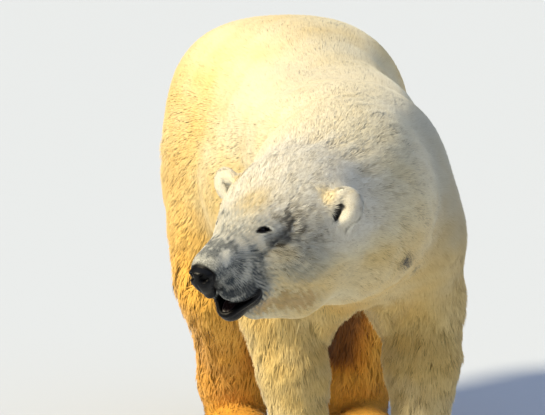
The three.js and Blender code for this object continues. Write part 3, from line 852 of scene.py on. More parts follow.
# ---- Nose ----
NOSE_ROUND = ball(HEAD, (343, 0, -95), (37, 38, 39), 1)
NOSE_FOOT = limb(HEAD, (343, 0, -108), (318, 0, -146), 21, 15, 14)
NOSE_FACE = unit([0.9, 0, -0.44])  # the way the front of the pad faces
NOSE_TOP = unit([0.5, 0, 1])
NOSE_BACK = unit([-0.7, 0, 0.6])  # the way the slope faces where the coat comes down over its back
NOSTRILS = [
    mass
    for side in SIDES
    for mass in (
        ball(HEAD, (369, side * 17, -95), (18, 10, 10.5), 0),
        limb(HEAD, (364, side * 23, -96), (344, side * 40, -108), 6.5, 4, 0),
    )
]
PHILTRUM = limb(HEAD, (384, 0, -92), (338, 0, -156), 2.6, 2.6, 0)


def nose_mass(p):
    """A round mass cut flat in front, on top, at the sides and on a slope at the back, joined to
    a foot that narrows to the lip. The top is lower by 0.012 y^2 away from its middle."""
    h = to_local(HEAD, p)
    d = NOSE_ROUND[0](p)
    d = smooth_max(d, (h - (371, 0, -92)) @ NOSE_FACE, 16)
    d = smooth_max(d, (h - (356, 0, -74)) @ NOSE_TOP + 0.012 * h[:, 1] ** 2, 8)
    d = smooth_max(d, np.abs(h[:, 1]) - 35 - 0.35 * (h[:, 2] + 88), 14)
    d = smooth_max(d, (h - (349, 0, -62)) @ NOSE_BACK + 0.35 * np.abs(h[:, 1]), 6)
    return smooth_min(d, NOSE_FOOT[0](p), NOSE_FOOT[1])


def nose_surface(p):
    """The pad, with two nostrils and their slits, and the groove down to the lip."""
    d = nose_mass(p)
    for away, *_ in NOSTRILS:
        d = smooth_max(d, -away(p), 4)
    return smooth_max(d, -PHILTRUM[0](p), 3)


def box_mesh(field, low, high, cell):
    """Surface net of a field over a box with even cells, slid onto the surface."""
    counts = np.ceil((high - low) / cell).astype(int) + 1
    grid = np.stack(np.meshgrid(*[np.arange(n) for n in counts], indexing="ij"), -1)
    points = (low + grid.reshape(-1, 3) * cell).astype(np.float32)
    net, faces = surface_net(in_chunks(field, points).reshape(counts))
    return slide_onto(field, (low + net * cell).astype(np.float32), cell), faces


# ---- Materials ----
def colour(hex_code):
    """An sRGB hex colour as linear red, green, blue and alpha."""
    channels = np.array([int(hex_code[n : n + 2], 16) for n in (1, 3, 5)]) / 255
    linear = np.where(channels <= 0.04045, channels / 12.92, ((channels + 0.055) / 1.055) ** 2.4)
    return (*linear.tolist(), 1.0)


def node(tree, kind, settings=None, inputs=None):
    """Adds a node. An input is a number, a colour or another node's output."""
    made = tree.nodes.new(kind)
    for name, value in (settings or {}).items():
        setattr(made, name, value)
    for socket, value in (inputs or {}).items():
        if isinstance(value, bpy.types.NodeSocket):
            tree.links.new(value, made.inputs[socket])
        else:
            made.inputs[socket].default_value = value
    return made.outputs


def new_material(name):
    """An empty material and its node tree."""
    material = bpy.data.materials.new(name)
    material.use_nodes = True
    material.node_tree.nodes.clear()
    return material, material.node_tree


def finish_material(tree, **shader):
    """A Principled shader into the output; each name is a socket's, with _ for a space."""
    inputs = {name.replace("_", " "): value for name, value in shader.items()}
    out = node(tree, "ShaderNodeBsdfPrincipled", None, inputs)
    node(tree, "ShaderNodeOutputMaterial", None, {"Surface": out[0]})


def blend_colour(tree, factor, a, b, kind="MIX"):
    """Colour a where factor is 0, b laid over it by `kind` where it is 1."""
    settings = {"data_type": "RGBA", "blend_type": kind}
    return node(tree, "ShaderNodeMix", settings, {0: factor, 6: a, 7: b})[2]


def ramp(tree, factor, stops):
    """A colour ramp from (place, hex) stops."""
    made = node(tree, "ShaderNodeValToRGB", None, {0: factor})
    elements = made[0].node.color_ramp.elements
    while len(elements) < len(stops):
        elements.new(0.5)
    for element, (place, hex_code) in zip(elements, stops):
        element.position = place
        element.color = colour(hex_code)
    return made[0]


def noise(tree, scale, detail=2):
    """How high a noise of `scale` bumps to the metre stands, over the object's own coordinates."""
    place = node(tree, "ShaderNodeTexCoord")[3]
    inputs = {"Vector": place, "Scale": scale, "Detail": detail}
    return node(tree, "ShaderNodeTexNoise", None, inputs)[0]


def bumped(tree, height, strength, distance, **settings):
    """A normal tilted by a height, as if 1 of it stood `distance` metres out."""
    inputs = {"Strength": strength, "Distance": distance, "Height": height}
    return node(tree, "ShaderNodeBump", settings, inputs)[0]


STAIN_AND_SHADE = [  # clean to most stained
    (0.0, "#F6F1E1"),
    (0.2, "#FCF0CB"),
    (0.38, "#FCDE96"),
    (0.55, "#FCC55C"),
    (0.72, "#EBA53F"),
    # The two darkest stops are reached only inside and between the hind legs, where they are partly
    # stain and partly painted shade.
    (0.88, "#C07C2C"),
    (1.0, "#80501F"),
]


def coat_colours(tree):
    """Cream going to yellow, orange and brown with stain, yellow patches, grey where dark skin
    shows through, and black where bare. The stain, grey and black also carry painted shade, and
    less grey a painted highlight."""
    marks = node(tree, "ShaderNodeAttribute", {"attribute_name": "marks"})[0]
    marks = node(tree, "ShaderNodeSeparateColor", None, {0: marks})
    lock = node(tree, "ShaderNodeAttribute", {"attribute_name": "lock"})[0]
    lock = node(tree, "ShaderNodeSeparateColor", None, {0: lock})
    coat = ramp(tree, marks[0], STAIN_AND_SHADE)
    coat = blend_colour(tree, lock[2], coat, colour("#F2D68C"))
    thin = ramp(tree, marks[1], [(0.0, "#B4B8B4"), (0.6, "#8E9699"), (1.0, "#454C52")])
    coat = blend_colour(tree, marks[1], coat, thin)
    return coat, marks, lock


def coat_material():
    """Polar bear guard hair: hollow, colourless and slightly translucent, so it looks cream with
    a soft edge light. Darker at the roots, a painted shade deep in the coat, and each lock a little
    lighter or darker, which also paints light and shade."""
    material, tree = new_material("guard_hair")
    coat, marks, lock = coat_colours(tree)
    # Painted shade: darker towards each lock's root.
    shade = ramp(tree, lock[0], [(0.0, "#D9D1C2"), (0.5, "#F6F4F0"), (1.0, "#FFFFFF")])
    coat = blend_colour(tree, 1.0, coat, shade, "MULTIPLY")
    # Each lock's tone, which carries the painted light and shade of lock_tone.
    tone = ramp(tree, lock[1], [(0.0, "#8A8172"), (0.5, "#EEEAE2"), (1.0, "#FFFFFF")])
    coat = blend_colour(tree, 1.0, coat, tone, "MULTIPLY")
    coat = blend_colour(tree, marks[2], coat, colour("#1B1B20"))
    finish_material(
        tree, Base_Color=coat, Roughness=0.8, Sheen_Weight=0.2, Specular_IOR_Level=0.15
    )
    return material


def skin_material():
    """Hide under short fur: the coat's colours, matt and finely broken up where haired, and
    black, smooth and moist on the lips and eyelids."""
    material, tree = new_material("short_furred_hide")
    coat, marks, _ = coat_colours(tree)
    grain = noise(tree, 660, 3)  # hair tips about 1.5 mm apart
    shade = ramp(tree, grain, [(0.3, "#C4BFB4"), (0.65, "#FFFFFF")])
    coat = blend_colour(tree, 1.0, coat, shade, "MULTIPLY")
    coat = blend_colour(tree, marks[2], coat, colour("#08080A"))
    bump = bumped(tree, grain, 0.5, 0.0012)
    moist = {"Value": marks[2], "To Min": 0.85, "To Max": 0.36}
    rough = node(tree, "ShaderNodeMapRange", None, moist)[0]
    finish_material(tree, Base_Color=coat, Roughness=rough, Normal=bump, Specular_IOR_Level=0.14)
    return material


def nose_material():
    """Nose leather: black, moist, in pebbles about 2.5 mm across."""
    material, tree = new_material("nose_leather")
    place = node(tree, "ShaderNodeTexCoord")[3]
    settings = {"feature": "SMOOTH_F1"}
    pebbles = node(tree, "ShaderNodeTexVoronoi", settings, {"Vector": place, "Scale": 400})[0]
    tint = ramp(tree, pebbles, [(0.0, "#0E0E11"), (0.7, "#040405")])
    bump = bumped(tree, pebbles, 0.45, 0.0008, invert=True)
    finish_material(tree, Base_Color=tint, Roughness=0.4, Normal=bump, Specular_IOR_Level=0.16)
    return material


def eye_material():
    """Living eye: a wet clear cornea over a dark brown iris and a black pupil. The attribute's
    red runs from 0 at the pupil's middle to 1 at a right angle from it."""
    material, tree = new_material("wet_eye")
    ring = node(tree, "ShaderNodeAttribute", {"attribute_name": "ring"})[0]
    ring = node(tree, "ShaderNodeSeparateColor", None, {0: ring})[0]
    stops = [(0.0, "#050404"), (0.15, "#050404")]  # pupil
    stops += [(0.2, "#1D1009"), (0.4, "#26160C"), (0.5, "#0B0807")]  # iris, then its dark rim
    tint = ramp(tree, ring, stops)
    finish_material(tree, Base_Color=tint, Roughness=0.1, Specular_IOR_Level=0.3)
    return material


def horn_material():
    """Claw horn: dark brown-black keratin, polished by wear, with grain along its length."""
    material, tree = new_material("claw_horn")
    grain = noise(tree, 250)
    tint = ramp(tree, grain, [(0.3, "#1C1815"), (0.7, "#453A30")])
    finish_material(tree, Base_Color=tint, Roughness=0.35)
    return material


def tongue_material():
    """Tongue: wet, dark pinkish grey, with papillae about 1.5 mm apart."""
    material, tree = new_material("wet_tongue")
    bump = bumped(tree, noise(tree, 650), 0.4, 0.0008)
    finish_material(tree, Base_Color=colour("#231113"), Roughness=0.28, Normal=bump)
    return material


# ---- Skin, nose, eyes, tongue and claws ----
FLESH_NODES = ["trunk", "neck", "head", "jaw", "tail", "ear_left", "ear_right"]
FLESH_NODES += [
    f"{pair}{part}_{side}"
    for pair in ("fore", "hind")
    for part in ("leg", "paw")
    for side in ("left", "right")
]

value, grid_start = grid_values(skin_surface)
net, skin_faces = surface_net(value)
skin_points = spread((net + grid_start).astype(np.float32))
skin_points = slide_onto(skin_surface, skin_points, 4.0)
skin_normals = unit(with_slope(skin_surface, skin_points)[1])
skin = new_piece(
    "skin", metres(skin_points), skin_faces, skin_material(), "coat_back", FLESH_NODES
)
marks, yellow = markings_and_painted_light(skin_points)
paint(skin, "marks", marks)
paint(skin, "lock", np.stack([0 * yellow, 0 * yellow, yellow * 0.5], 1))

corner_a, corner_b = to_body(HEAD, (300, -50, -160)), to_body(HEAD, (385, 50, -45))
nose_low = np.minimum(corner_a, corner_b) - 45
nose_high = np.maximum(corner_a, corner_b) + 45
nose_points, nose_faces = box_mesh(nose_surface, nose_low, nose_high, 1.5)
new_piece("nose_pad", metres(nose_points), nose_faces, nose_material(), "nose_skin", ["nose"])


def closed_grid(rows, columns):
    """Faces of a surface of `rows` rings of `columns` points between two poles, which are the
    last two points: first the pole before ring 0, then the pole after the last ring."""
    index = np.arange(rows * columns).reshape(rows, columns)
    after = np.roll(index, -1, 1)
    body = np.stack([index[:-1], after[:-1], after[1:], index[1:]], -1).reshape(-1, 4)
    first, last = rows * columns, rows * columns + 1
    cap = np.stack([after[0], index[0], np.full(columns, first)], 1)
    end = np.stack([index[-1], after[-1], np.full(columns, last)], 1)
    return np.concatenate([body[:, [0, 1, 2]], body[:, [0, 2, 3]], cap, end])


def bulb(rows, columns, shape):
    """Points of shape(turn, rise) for rings at rise 0 to pi, with a pole at each end."""
    rise = (np.arange(rows) + 1) * math.pi / (rows + 1)
    turn = np.arange(columns) * 2 * math.pi / columns
    grid_rise, grid_turn = np.meshgrid(rise, turn, indexing="ij")
    ends = shape(np.zeros(2), np.array([0, math.pi]))
    return np.concatenate([shape(grid_turn.ravel(), grid_rise.ravel()), ends])


def eyeball(turn, rise):
    """A sphere about the socket's axis, its front raised by 1.6 mm * cos^8 as the cornea is."""
    radius = EYE_R + 1.6 * np.clip(np.cos(rise), 0, 1) ** 8
    around = np.sin(rise) * radius
    return np.stack([np.cos(rise) * radius, np.cos(turn) * around, np.sin(turn) * around], 1)


wet_eye = eye_material()
for side, name in ((1, "left"), (-1, "right")):
    local = bulb(23, 32, eyeball)
    piece = new_piece(
        f"eyeball_{name}",
        metres(to_body(EYES[side], local)),
        closed_grid(23, 32) if side > 0 else closed_grid(23, 32)[:, ::-1],
        wet_eye,
        "eye_gloss",
        [f"eye_{name}"],
    )
    angle = np.arccos(np.clip(unit(local)[:, 0], -1, 1)) / (math.pi / 2)
    paint(piece, "ring", np.repeat(angle[:, None], 3, 1))


def tongue_shape(turn, rise):
    """A flattened oval, 76 mm long, with a shallow furrow down its middle and its tip raised."""
    x = np.cos(rise) * 38
    y = np.sin(rise) * np.cos(turn) * 17
    z = np.sin(rise) * np.sin(turn) * 7
    z = z - 2.5 * np.exp(-((y / 5) ** 2)) * (z > 0) + x * x * 0.0015
    return np.stack([x, y, z], 1)


def tongue_frame():
    """It lies along the lower lip: x to the tip, z up."""
    c, s = math.cos(LOWER_LIP), math.sin(LOWER_LIP)
    axes = np.array([(c, 0, s), (0, 1, 0), (-s, 0, c)]) @ HEAD[1]
    return frame_at(to_body(HEAD, (238, 0, -198)), *axes)


tongue_points = to_body(tongue_frame(), bulb(19, 24, tongue_shape))
new_piece(
    "tongue_wet",
    metres(tongue_points),
    closed_grid(19, 24),
    tongue_material(),
    "tongue_skin",
    ["tongue"],
)


def claw_points(rings, columns):
    """A cone bent down along an arc of CLAW_CURL over CLAW_LENGTH: radius (1 - t^2)^0.6 of the
    root's, a fifth deeper than wide; x across, -y forward."""
    t = np.linspace(0, 1, rings + 1)[:-1]
    turn = np.arange(columns) * 2 * math.pi / columns
    arc = CLAW_LENGTH / math.radians(CLAW_CURL)
    grid_t, grid_turn = np.meshgrid(t, turn, indexing="ij")
    grid_t = np.append(grid_t.ravel(), [-0.05, 1.0])
    grid_turn = np.append(grid_turn.ravel(), [0, 0])
    radius = CLAW_R * np.clip(1 - np.clip(grid_t, 0, 1) ** 2, 0, 1) ** 0.6 * (grid_t >= 0)
    bend = grid_t * math.radians(CLAW_CURL)
    height = radius * np.sin(grid_turn) * 1.2
    out = arc + height
    return np.stack(
        [radius * np.cos(grid_turn), -out * np.sin(bend), out * np.cos(bend) - arc], 1
    )


horn = horn_material()
for pair, side, x, y, _ in PAWS:
    name = "left" if side > 0 else "right"
    shape, shape_faces = claw_points(10, 12), closed_grid(10, 12)
    points = []
    for i in TOES:
        toe_x, toe_y, _ = toe_at(x, y, i)
        c, s = math.cos(math.radians(CLAW_SPLAY * i)), math.sin(math.radians(CLAW_SPLAY * i))
        place = frame_at((toe_x, toe_y - CLAW_OUT, CLAW_ROOT_Z), (c, s, 0), (-s, c, 0), (0, 0, 1))
        points.append(to_body(place, shape))
    faces = np.concatenate([shape_faces + n * len(shape) for n in range(len(TOES))])
    new_piece(
        f"claws_{pair}_{name}",
        metres(np.concatenate(points)),
        faces,
        horn,
        "claw_horn",
        [f"{pair}claw_{name}_{n + 1}" for n in range(len(TOES))],
    )


# ---- Coat ----
def lie_of_coat(p, normal):
    """The way the hair points: from the nose back over the head, along the neck and back, down
    the flanks and legs; then laid flat on the skin."""
    h = to_local(HEAD, p)
    back = np.broadcast_to(np.array([0, 1, 0], np.float32), p.shape)
    down = np.array([0, 0, -1], np.float32)
    flank = ease(p[:, 2:3], 1020, 620)
    flow = back + down * (0.25 + 1.1 * flank)
    legs = ease(p[:, 2:3], 640, 480)
    flow = mix(flow, back * 0.25 + down, legs)
    chest = ease(p[:, 1:2], -300, -430) * ease(p[:, 2:3], 900, 700)
    flow = mix(flow, back * 0.15 + down, chest)
    paw = ease(p[:, 2:3], 130, 70)
    flow = mix(flow, -back * 0.9 + down * 0.35, paw)
    neck_way = unit(np.array([0.3, 0.9, -0.42]))
    neck_part = ease(h[:, 0:1], -760, -520) * ease(p[:, 2:3], 560, 680)
    flow = mix(flow, np.broadcast_to(neck_way, p.shape), neck_part)
    from_nose = unit(h - np.array([330, 0, -60])) + np.array([-0.35, 0, -0.25])
    on_head = ease(h[:, 0:1], -260, -60)
    flow = mix(flow, unit(from_nose) @ HEAD[1], on_head)
    for side, place in EARS.items():
        q = to_local(place, p)
        q[:, 1] *= side
        over_hollow = 50 * ease(q[:, 1], 10, -30) * ease(q[:, 0], 0, 8)
        out = np.stack([0 * q[:, 0] - 0.1, q[:, 1] + over_hollow, q[:, 2] + 18], 1)
        out[:, 1] *= side
        flow = mix(flow, unit(out) @ place[1], ease(size(q), 74, 56)[:, None])
    gather = 0.12 + 0.34 * shag(p)[:, None]
    flow = unit(flow) + 0.12 * wobble(p, 230, 21, True) + gather * wobble(p, 44, 31, True)
    flow = flow + 0.5 * gather * wobble(p, 19, 32, True)
    return unit(flow - normal * np.einsum("ij,ij->i", flow, normal)[:, None])


def shag(p):
    """How ragged the coat is: 0 where it lies combed flat, 1 where it stands in separate tufts."""
    h = to_local(HEAD, p)
    rough = 0.08 + 0.42 * ease(h[:, 0], -700, -350)
    rough = mix(rough, 0.7, ease(p[:, 2], 660, 520))
    rough = mix(rough, 1.0, patch(p, (-340, 424, 780), (120, 240, 80)))
    rough = mix(rough, 1.0, ease(p[:, 1], 0, 250) * ease(p[:, 2], 640, 480))
    rough = mix(rough, 1.0, patch(folded(h), (125, 105, -60), (80, 60, 80)))
    return mix(rough, 0.35, ease(h[:, 0], 190, 240))


# name, slot, how many locks, rings of corners before each lock's tip
COAT = [
    ("fur_face", "coat_head", 34000, 1),
    ("fur_cheek_left", "coat_head", 26000, 1),
    ("fur_cheek_right", "coat_head", 15000, 1),
    ("fur_ears", "coat_head", 11000, 1),
    ("fur_neck_left", "coat_neck", 42000, 1),
    ("fur_neck_right", "coat_neck", 20000, 1),
    ("fur_back", "coat_back", 26000, 1),
    ("fur_chest", "coat_back", 33000, 1),
    ("fur_rump", "coat_back", 28000, 1),
    ("fur_tail", "coat_hindleg", 1600, 2),
    ("fur_flank_left", "coat_back", 21000, 1),
    ("fur_flank_right", "coat_back", 25000, 1),
    ("fur_foreleg_left", "coat_foreleg", 22000, 1),
    ("fur_foreleg_right", "coat_foreleg", 22000, 1),
    ("fur_hindleg_left", "coat_hindleg", 8000, 2),
    ("fur_hindleg_right", "coat_hindleg", 9500, 2),
    ("fur_paws", "coat_foreleg", 11000, 1),
]
PART = {name: number for number, (name, *_) in enumerate(COAT)}
SUNK = 1.5  # mm that a root lies under the skin
PATCH = 0.003  # size of one lock on the coat's map
TAPER = 0.25  # how much narrower a lock's last ring would be than its first


def regions(p):
    """The number in COAT of the piece each point belongs to. Later rows overrule earlier ones."""
    h = to_local(HEAD, p)
    x, y, z = p.T
    flank = (np.abs(x) > 130) & (z < 960) | (z < 640)
    fore = (z < 500) & (y < 0)
    hind = (z < 560) & (y > 220)
    neck_part = (y < -520) & (z > 600)
    neck_left = (p - HEAD_AT) @ np.array([0.9, -0.42, 0.0]) > 0
    head = (h[:, 0] > -125) & (h[:, 2] > -400)
    part = np.full(len(p), PART["fur_back"])
    for name, inside in (
        ("fur_rump", y > 130),
        ("fur_flank_left", flank & (x > 0)),
        ("fur_flank_right", flank & (x <= 0)),
        ("fur_chest", (y < -180) & (z < 900)),
        ("fur_tail", (y > 840) & (np.abs(x) < 110)),
        ("fur_foreleg_left", fore & (x > 10)),
        ("fur_foreleg_right", fore & (x <= 10)),
        ("fur_hindleg_left", hind & (x > 0)),
        ("fur_hindleg_right", hind & (x <= 0)),
        ("fur_paws", z < 105),
        ("fur_neck_left", neck_part & neck_left),
        ("fur_neck_right", neck_part & ~neck_left),
        ("fur_cheek_left", head & (h[:, 1] > 0)),
        ("fur_cheek_right", head & (h[:, 1] <= 0)),
        ("fur_face", head & (h[:, 0] > 105)),
        ("fur_ears", np.minimum(near(EARS[1], p), near(EARS[-1], p)) < 66),
    ):
        part = np.where(inside, PART[name], part)
    return part


def scattered(count, areas):
    """Faces chosen evenly by area, and a place in each: a stepped draw along the running total."""
    total = np.cumsum(areas)
    draw = (np.arange(count) + rng.uniform(0, 1, count)) / count * total[-1]
    return np.searchsorted(total, draw).clip(0, len(areas) - 1), rng.uniform(0, 1, (count, 2))


def lock_faces(rings):
    """Triangles of one lock: a closed end, three sides between rings, and three at the tip. Ring
    n's corners are 3n, 3n + 1 and 3n + 2."""
    faces = [(0, 2, 1)]
    for n in range(rings - 1):
        for a, b in ((0, 1), (1, 2), (2, 0)):
            faces += [(3 * n + a, 3 * n + b, 3 * n + 3 + b), (3 * n + a, 3 * n + 3 + b, 3 * n + 3 + a)]
    last = 3 * (rings - 1)
    return np.array(faces + [(last + a, last + b, 3 * rings) for a, b in ((0, 1), (1, 2), (2, 0))])


def unrolled(p, part):
    """Places on an unwrap of the skin: the angle round an axis that runs through the part, and
    the distance along it, each scaled to 0.02 to 0.98. The axis runs along the head, down a leg
    and along the rest of the body."""
    if part <= PART["fur_ears"]:
        q = to_local(HEAD, p)[:, [1, 2, 0]] + np.array([0, 90, 0])
    elif part >= PART["fur_foreleg_left"]:
        q = p - (p.max(0) + p.min(0)) / 2
    else:
        q = (p - (p.max(0) + p.min(0)) / 2)[:, [0, 2, 1]]
    turn = np.arctan2(q[:, 0], -q[:, 1]) / (2 * math.pi) + 0.5
    place = np.stack([turn, q[:, 2]], 1)
    low, high = place.min(0), place.max(0)
    return 0.02 + 0.96 * (place - low) / np.maximum(high - low, 1e-6)


def lock_sizes(depth, rough, clump, rings):
    """Length is 3 times the coat's depth and 5 mm, less even where the coat is ragged. Width is
    half the length's power 0.56, more for a lock of many rings and less where ragged."""
    uneven = mix(1, rng.uniform(0.7, 1.25, len(depth)), 0.4 + 0.6 * rough)
    length = (5 + 3 * depth) * uneven * (1 + 0.3 * rough * clump)
    width = 0.5 * length**0.56 * rng.uniform(0.7, 1.3, len(depth))
    width = width * 1 * (0.85 + 0.25 * rings)
    return length, width * (1.8 - 0.8 * rough)


def lock_line(roots, normals, depth, rough, clump, length, rings):
    """Middle, way up and way on at each ring and the tip. The line starts SUNK under the skin,
    steps along the lie of the coat and is slid to the level set that stands so much of the depth
    (by t^0.6) over its root's."""
    amount = len(roots)
    spare = rng.uniform(-0.2, 0.2, amount) * (0.05 + rough)
    lift = depth * np.clip(0.82 + 0.4 * rough * clump + spare, 0.2, 1.3)
    way = lie_of_coat(roots, normals)
    across = np.cross(normals, way)
    way = unit(way + across * (rng.normal(0, 0.2, amount) * (0.4 + 0.6 * rough))[:, None])
    base = in_chunks(coat_surface, roots)
    centre = roots - normals * SUNK
    line = [(centre, normals, way)]
    for n in range(1, rings + 1):
        t = n / rings
        centre = centre + way * (length / rings)[:, None]
        value, slope = with_slope(coat_surface, centre)
        steep = np.maximum(np.einsum("ij,ij->i", slope, slope), 0.3)
        move = np.clip((base + lift * t**0.6 - value) / steep, -length, length)
        centre = centre + slope * move[:, None]
        centre[:, 2] = np.maximum(centre[:, 2], 1.0)
        up = unit(slope)
        sag = np.array([0, 0, -0.08])
        way = unit(way - up * np.einsum("ij,ij->i", way, up)[:, None] + sag)
        line.append((centre, up, way))
    return line


def lock_corners(line, width, rough):
    """Corners of each lock's rings and its tip, and the normals it is shaded by. A ring is a flat
    triangle, rolled a little about the line. Normals lean from the coat's own towards the lock's,
    more where the coat is ragged."""
    rings = len(line) - 1
    points = np.zeros((len(width), 3 * rings + 1, 3), np.float32)
    shading = np.zeros_like(points)
    roll = (rng.normal(0, 0.5, len(width)) * (0.3 + 0.7 * rough))[:, None]
    for n, (centre, up, way) in enumerate(line[:-1]):
        level = unit(np.cross(up, way))
        sideways = level * np.cos(roll) + up * np.sin(roll)
        over = up * np.cos(roll) - level * np.sin(roll)
        half = (width / 2 * (1 - TAPER * (n / rings)))[:, None]
        for corner, (a, b) in enumerate(((-1, -0.25), (1, -0.25), (0, 0.5))):
            out = sideways * a + over * (b * (0.35 + 0.65 * rough))[:, None]
            points[:, 3 * n + corner] = centre + out * half
            shading[:, 3 * n + corner] = unit(up + (0.05 + 0.45 * rough)[:, None] * out)
    tip, up, way = line[-1]
    points[:, -1] = tip
    shading[:, -1] = unit(up + 0.1 * way)
    points[:, :, 2] = np.maximum(points[:, :, 2], 0.5)
    return points, shading


def lock_tone(roots, rough, clump):
    """How pale each lock is: paler low on the flanks and at the left ear, a painted light; paler where
    the coat is thick, and on the pouch under the eye as a painted highlight; darker between clumps, a
    painted shade; and flecked on the cheek, where the tuft's bright flecks are painted highlights."""
    h = to_local(HEAD, roots)
    near_side = folded(h)
    # Darker between clumps and paler on them: painted shade.
    streak = (0.34 + 0.12 * ease(roots[:, 1], 100, 250)) * clump + 0.3 * wobble(roots, 12, 33)
    # Paler low on the rear flanks: painted light.
    flank = 0.3 * ease(roots[:, 2], 950, 700) * ease(roots[:, 1], -100, 200)
    uneven = rng.normal(0, 1, len(roots)) * (0.05 + 0.13 * rough)
    tone = 0.62 + flank + rough * streak + uneven
    # Paler at the left ear: painted light on its rim.
    tone = tone + 0.3 * patch(h, EAR_MIDDLE[1], (60, 70, 60))
    # Flecked on the face and brow; brighter in the cheek's tuft, as painted highlights.
    flecked = 0.2 * patch(near_side, (95, 90, -10), (115, 60, 75))
    flecked = np.maximum(
        flecked + 0.8 * patch(near_side, *CHEEK_TUFT), 0.12 * ease(h[:, 0], -60, 60)
    )
    tone = tone + 0.3 * strokes(near_side, THICK_AND_LIT) + flecked * (streaks(h) + 0.2)
    return np.clip(tone, 0, 1)


def lock_map(roots, part, along):
    """Places of a lock's corners on the coat's map: PATCH long, round its root's place."""
    rings = len(along) // 3
    across = np.append(np.tile([-0.5, 0.5, 0.1], rings), 0.0) * (1 - TAPER * along)
    ridge = np.append(np.tile([0, 0, 0.12], rings), 0.0)
    on_map = np.stack([across, along + ridge - 0.5], 1)
    return (unrolled(roots, part)[:, None] + on_map[None] * PATCH).reshape(-1, 2)


def grow(name, slot, rings, material, roots, normals, part):
    """One piece of coat: a lock on each root. Attributes are worked out at a lock's middle; along
    runs from 0 at its root to 1 at its tip."""
    clump = wobble(roots, 44, 31) * 0.6 + wobble(roots, 19, 32) * 0.4
    rough = shag(roots)
    depth = coat_depth(roots, to_local(HEAD, roots))
    length, width = lock_sizes(depth, rough, clump, rings)
    line = lock_line(roots, normals, depth, rough, clump, length, rings)
    points, shading = lock_corners(line, width, rough)
    corners = points.shape[1]
    first = np.arange(len(roots))[:, None, None] * corners
    faces = (lock_faces(rings)[None] + first).reshape(-1, 3)
    shape = metres(points.reshape(-1, 3))
    piece = new_piece(name, shape, faces, material, slot, normals=shading.reshape(-1, 3))
    marks, yellow = markings_and_painted_light((line[0][0] + line[-1][0]) / 2)
    paint(piece, "marks", np.repeat(marks, corners, 0))
    along = np.append(np.repeat(np.arange(rings) / rings, 3), 1.0)
    lock = np.zeros((len(roots), corners, 3), np.float32)
    lock[:, :, 0] = along
    lock[:, :, 1] = lock_tone(roots, rough, clump)[:, None]
    lock[:, :, 2] = (yellow * 0.6)[:, None]
    paint(piece, "lock", lock.reshape(-1, 3))
    places = lock_map(roots, part, along)[faces.ravel()]
    layer = piece.data.uv_layers.new(name="OFBake")
    layer.data.foreach_set("uv", places.astype(np.float32).ravel())


hair = coat_material()
triangles = np.concatenate([skin_faces[:, [0, 1, 2]], skin_faces[:, [0, 2, 3]]])
a, b, c = (skin_points[triangles[:, n]] for n in range(3))
areas = size(np.cross(b - a, c - a))
middles = skin_points[triangles].mean(1)
haired = 1 - ease(marks[triangles, 2].max(1), 0.62, 0.8)
# Faces are taken in order of height, then of length, in steps of 30 mm.
row, column = np.floor(middles[:, 2] / 30), np.floor(middles[:, 1] / 30)
order = np.argsort((row * 100 + column) * 100 + middles[:, 0] / 30)
triangles, areas, haired = triangles[order], areas[order], haired[order]
part_of = regions(middles)[order]
for part, (name, slot, count, rings) in enumerate(COAT):
    count = count
    mine = np.flatnonzero((part_of == part) & (haired > 0.5))
    if not len(mine):
        continue
    chosen, where = scattered(count, areas[mine])
    a, b, c = (skin_points[triangles[mine[chosen], n]] for n in range(3))
    s, t = np.sqrt(where[:, :1]), where[:, 1:]
    roots = ((1 - s) * a + s * (1 - t) * b + s * t * c).astype(np.float32)
    na, nb, nc = (skin_normals[triangles[mine[chosen], n]] for n in range(3))
    normals = unit((1 - s) * na + s * (1 - t) * nb + s * t * nc)
    grow(name, slot, rings, hair, roots, normals, part)


# ---- Studio ----
def studio_floor():
    """Matt pale paper, 80 m square."""
    material, tree = new_material("matt_paper_floor")
    finish_material(tree, Base_Color=colour("#C6CCD4"), Roughness=0.9)
    half = 40.0
    corners = [(-half, -half, 0), (half, -half, 0), (half, half, 0), (-half, half, 0)]
    floor = new_piece("floor", corners, [(0, 1, 2, 3)], material)


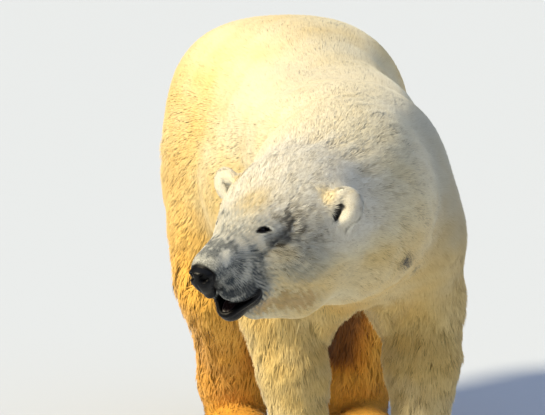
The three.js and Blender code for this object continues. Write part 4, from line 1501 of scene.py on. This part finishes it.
def placed(x, y, z, at):
    """The matrix of an object whose axes are x, y and z."""
    matrix = np.eye(4)
    matrix[:3] = np.stack([x, y, z, at], 1)
    return Matrix(matrix)


def lamp(name, kind, energy, way, tint, **settings):
    """A lamp that shines from the direction `way` towards the bear."""
    data = bpy.data.lights.new(name, kind)
    data.energy = energy
    data.color = colour(tint)[:3]
    for key, setting in settings.items():
        setattr(data, key, setting)
    made = bpy.data.objects.new(name, data)
    bpy.context.scene.collection.objects.link(made)
    back = unit(way)
    x = unit(np.cross((0, 0, 1), back))
    y = np.cross(back, x)
    made.matrix_world = placed(x, y, back, back * 8)
    return made


studio_floor()
lamp("key", "SUN", 5.2, (-0.71, -0.21, 0.67), "#FFF1D0", angle=math.radians(11))
lamp("sky", "SUN", 1.45, (0.36, 0.06, 0.93), "#C9DCFF", angle=math.radians(110))
world = bpy.data.worlds.new("studio")
bpy.context.scene.world = world
world.use_nodes = True
backdrop = world.node_tree.nodes["Background"].inputs
backdrop["Color"].default_value = colour("#DFE9F7")
backdrop["Strength"].default_value = 0.15
# Colours are shown as they are, with no film curve.
bpy.context.scene.view_settings.view_transform = "Standard"

# ---- Camera: a long lens, a little above the back, to the bear's right of straight ahead ----
AZIMUTH, ELEVATION, DISTANCE = math.radians(-9.5), math.radians(12), 14.3
AIM_RIGHT, AIM_DOWN = -0.0295, 0.0366  # metres from the head's middle to the picture's
back = np.array(
    [
        math.sin(AZIMUTH) * math.cos(ELEVATION),
        -math.cos(AZIMUTH) * math.cos(ELEVATION),
        math.sin(ELEVATION),
    ]
)
right = np.array([math.cos(AZIMUTH), math.sin(AZIMUTH), 0])
up = np.cross(back, right)
aim = metres(HEAD_AT) + right * AIM_RIGHT - up * AIM_DOWN
camera = bpy.data.objects.new("camera", bpy.data.cameras.new("camera"))
bpy.context.scene.collection.objects.link(camera)
camera.data.lens = 400.3
camera.data.sensor_width = 36
camera.data.clip_end = 500
camera.matrix_world = placed(right, up, back, aim + back * DISTANCE)
bpy.context.scene.camera = camera
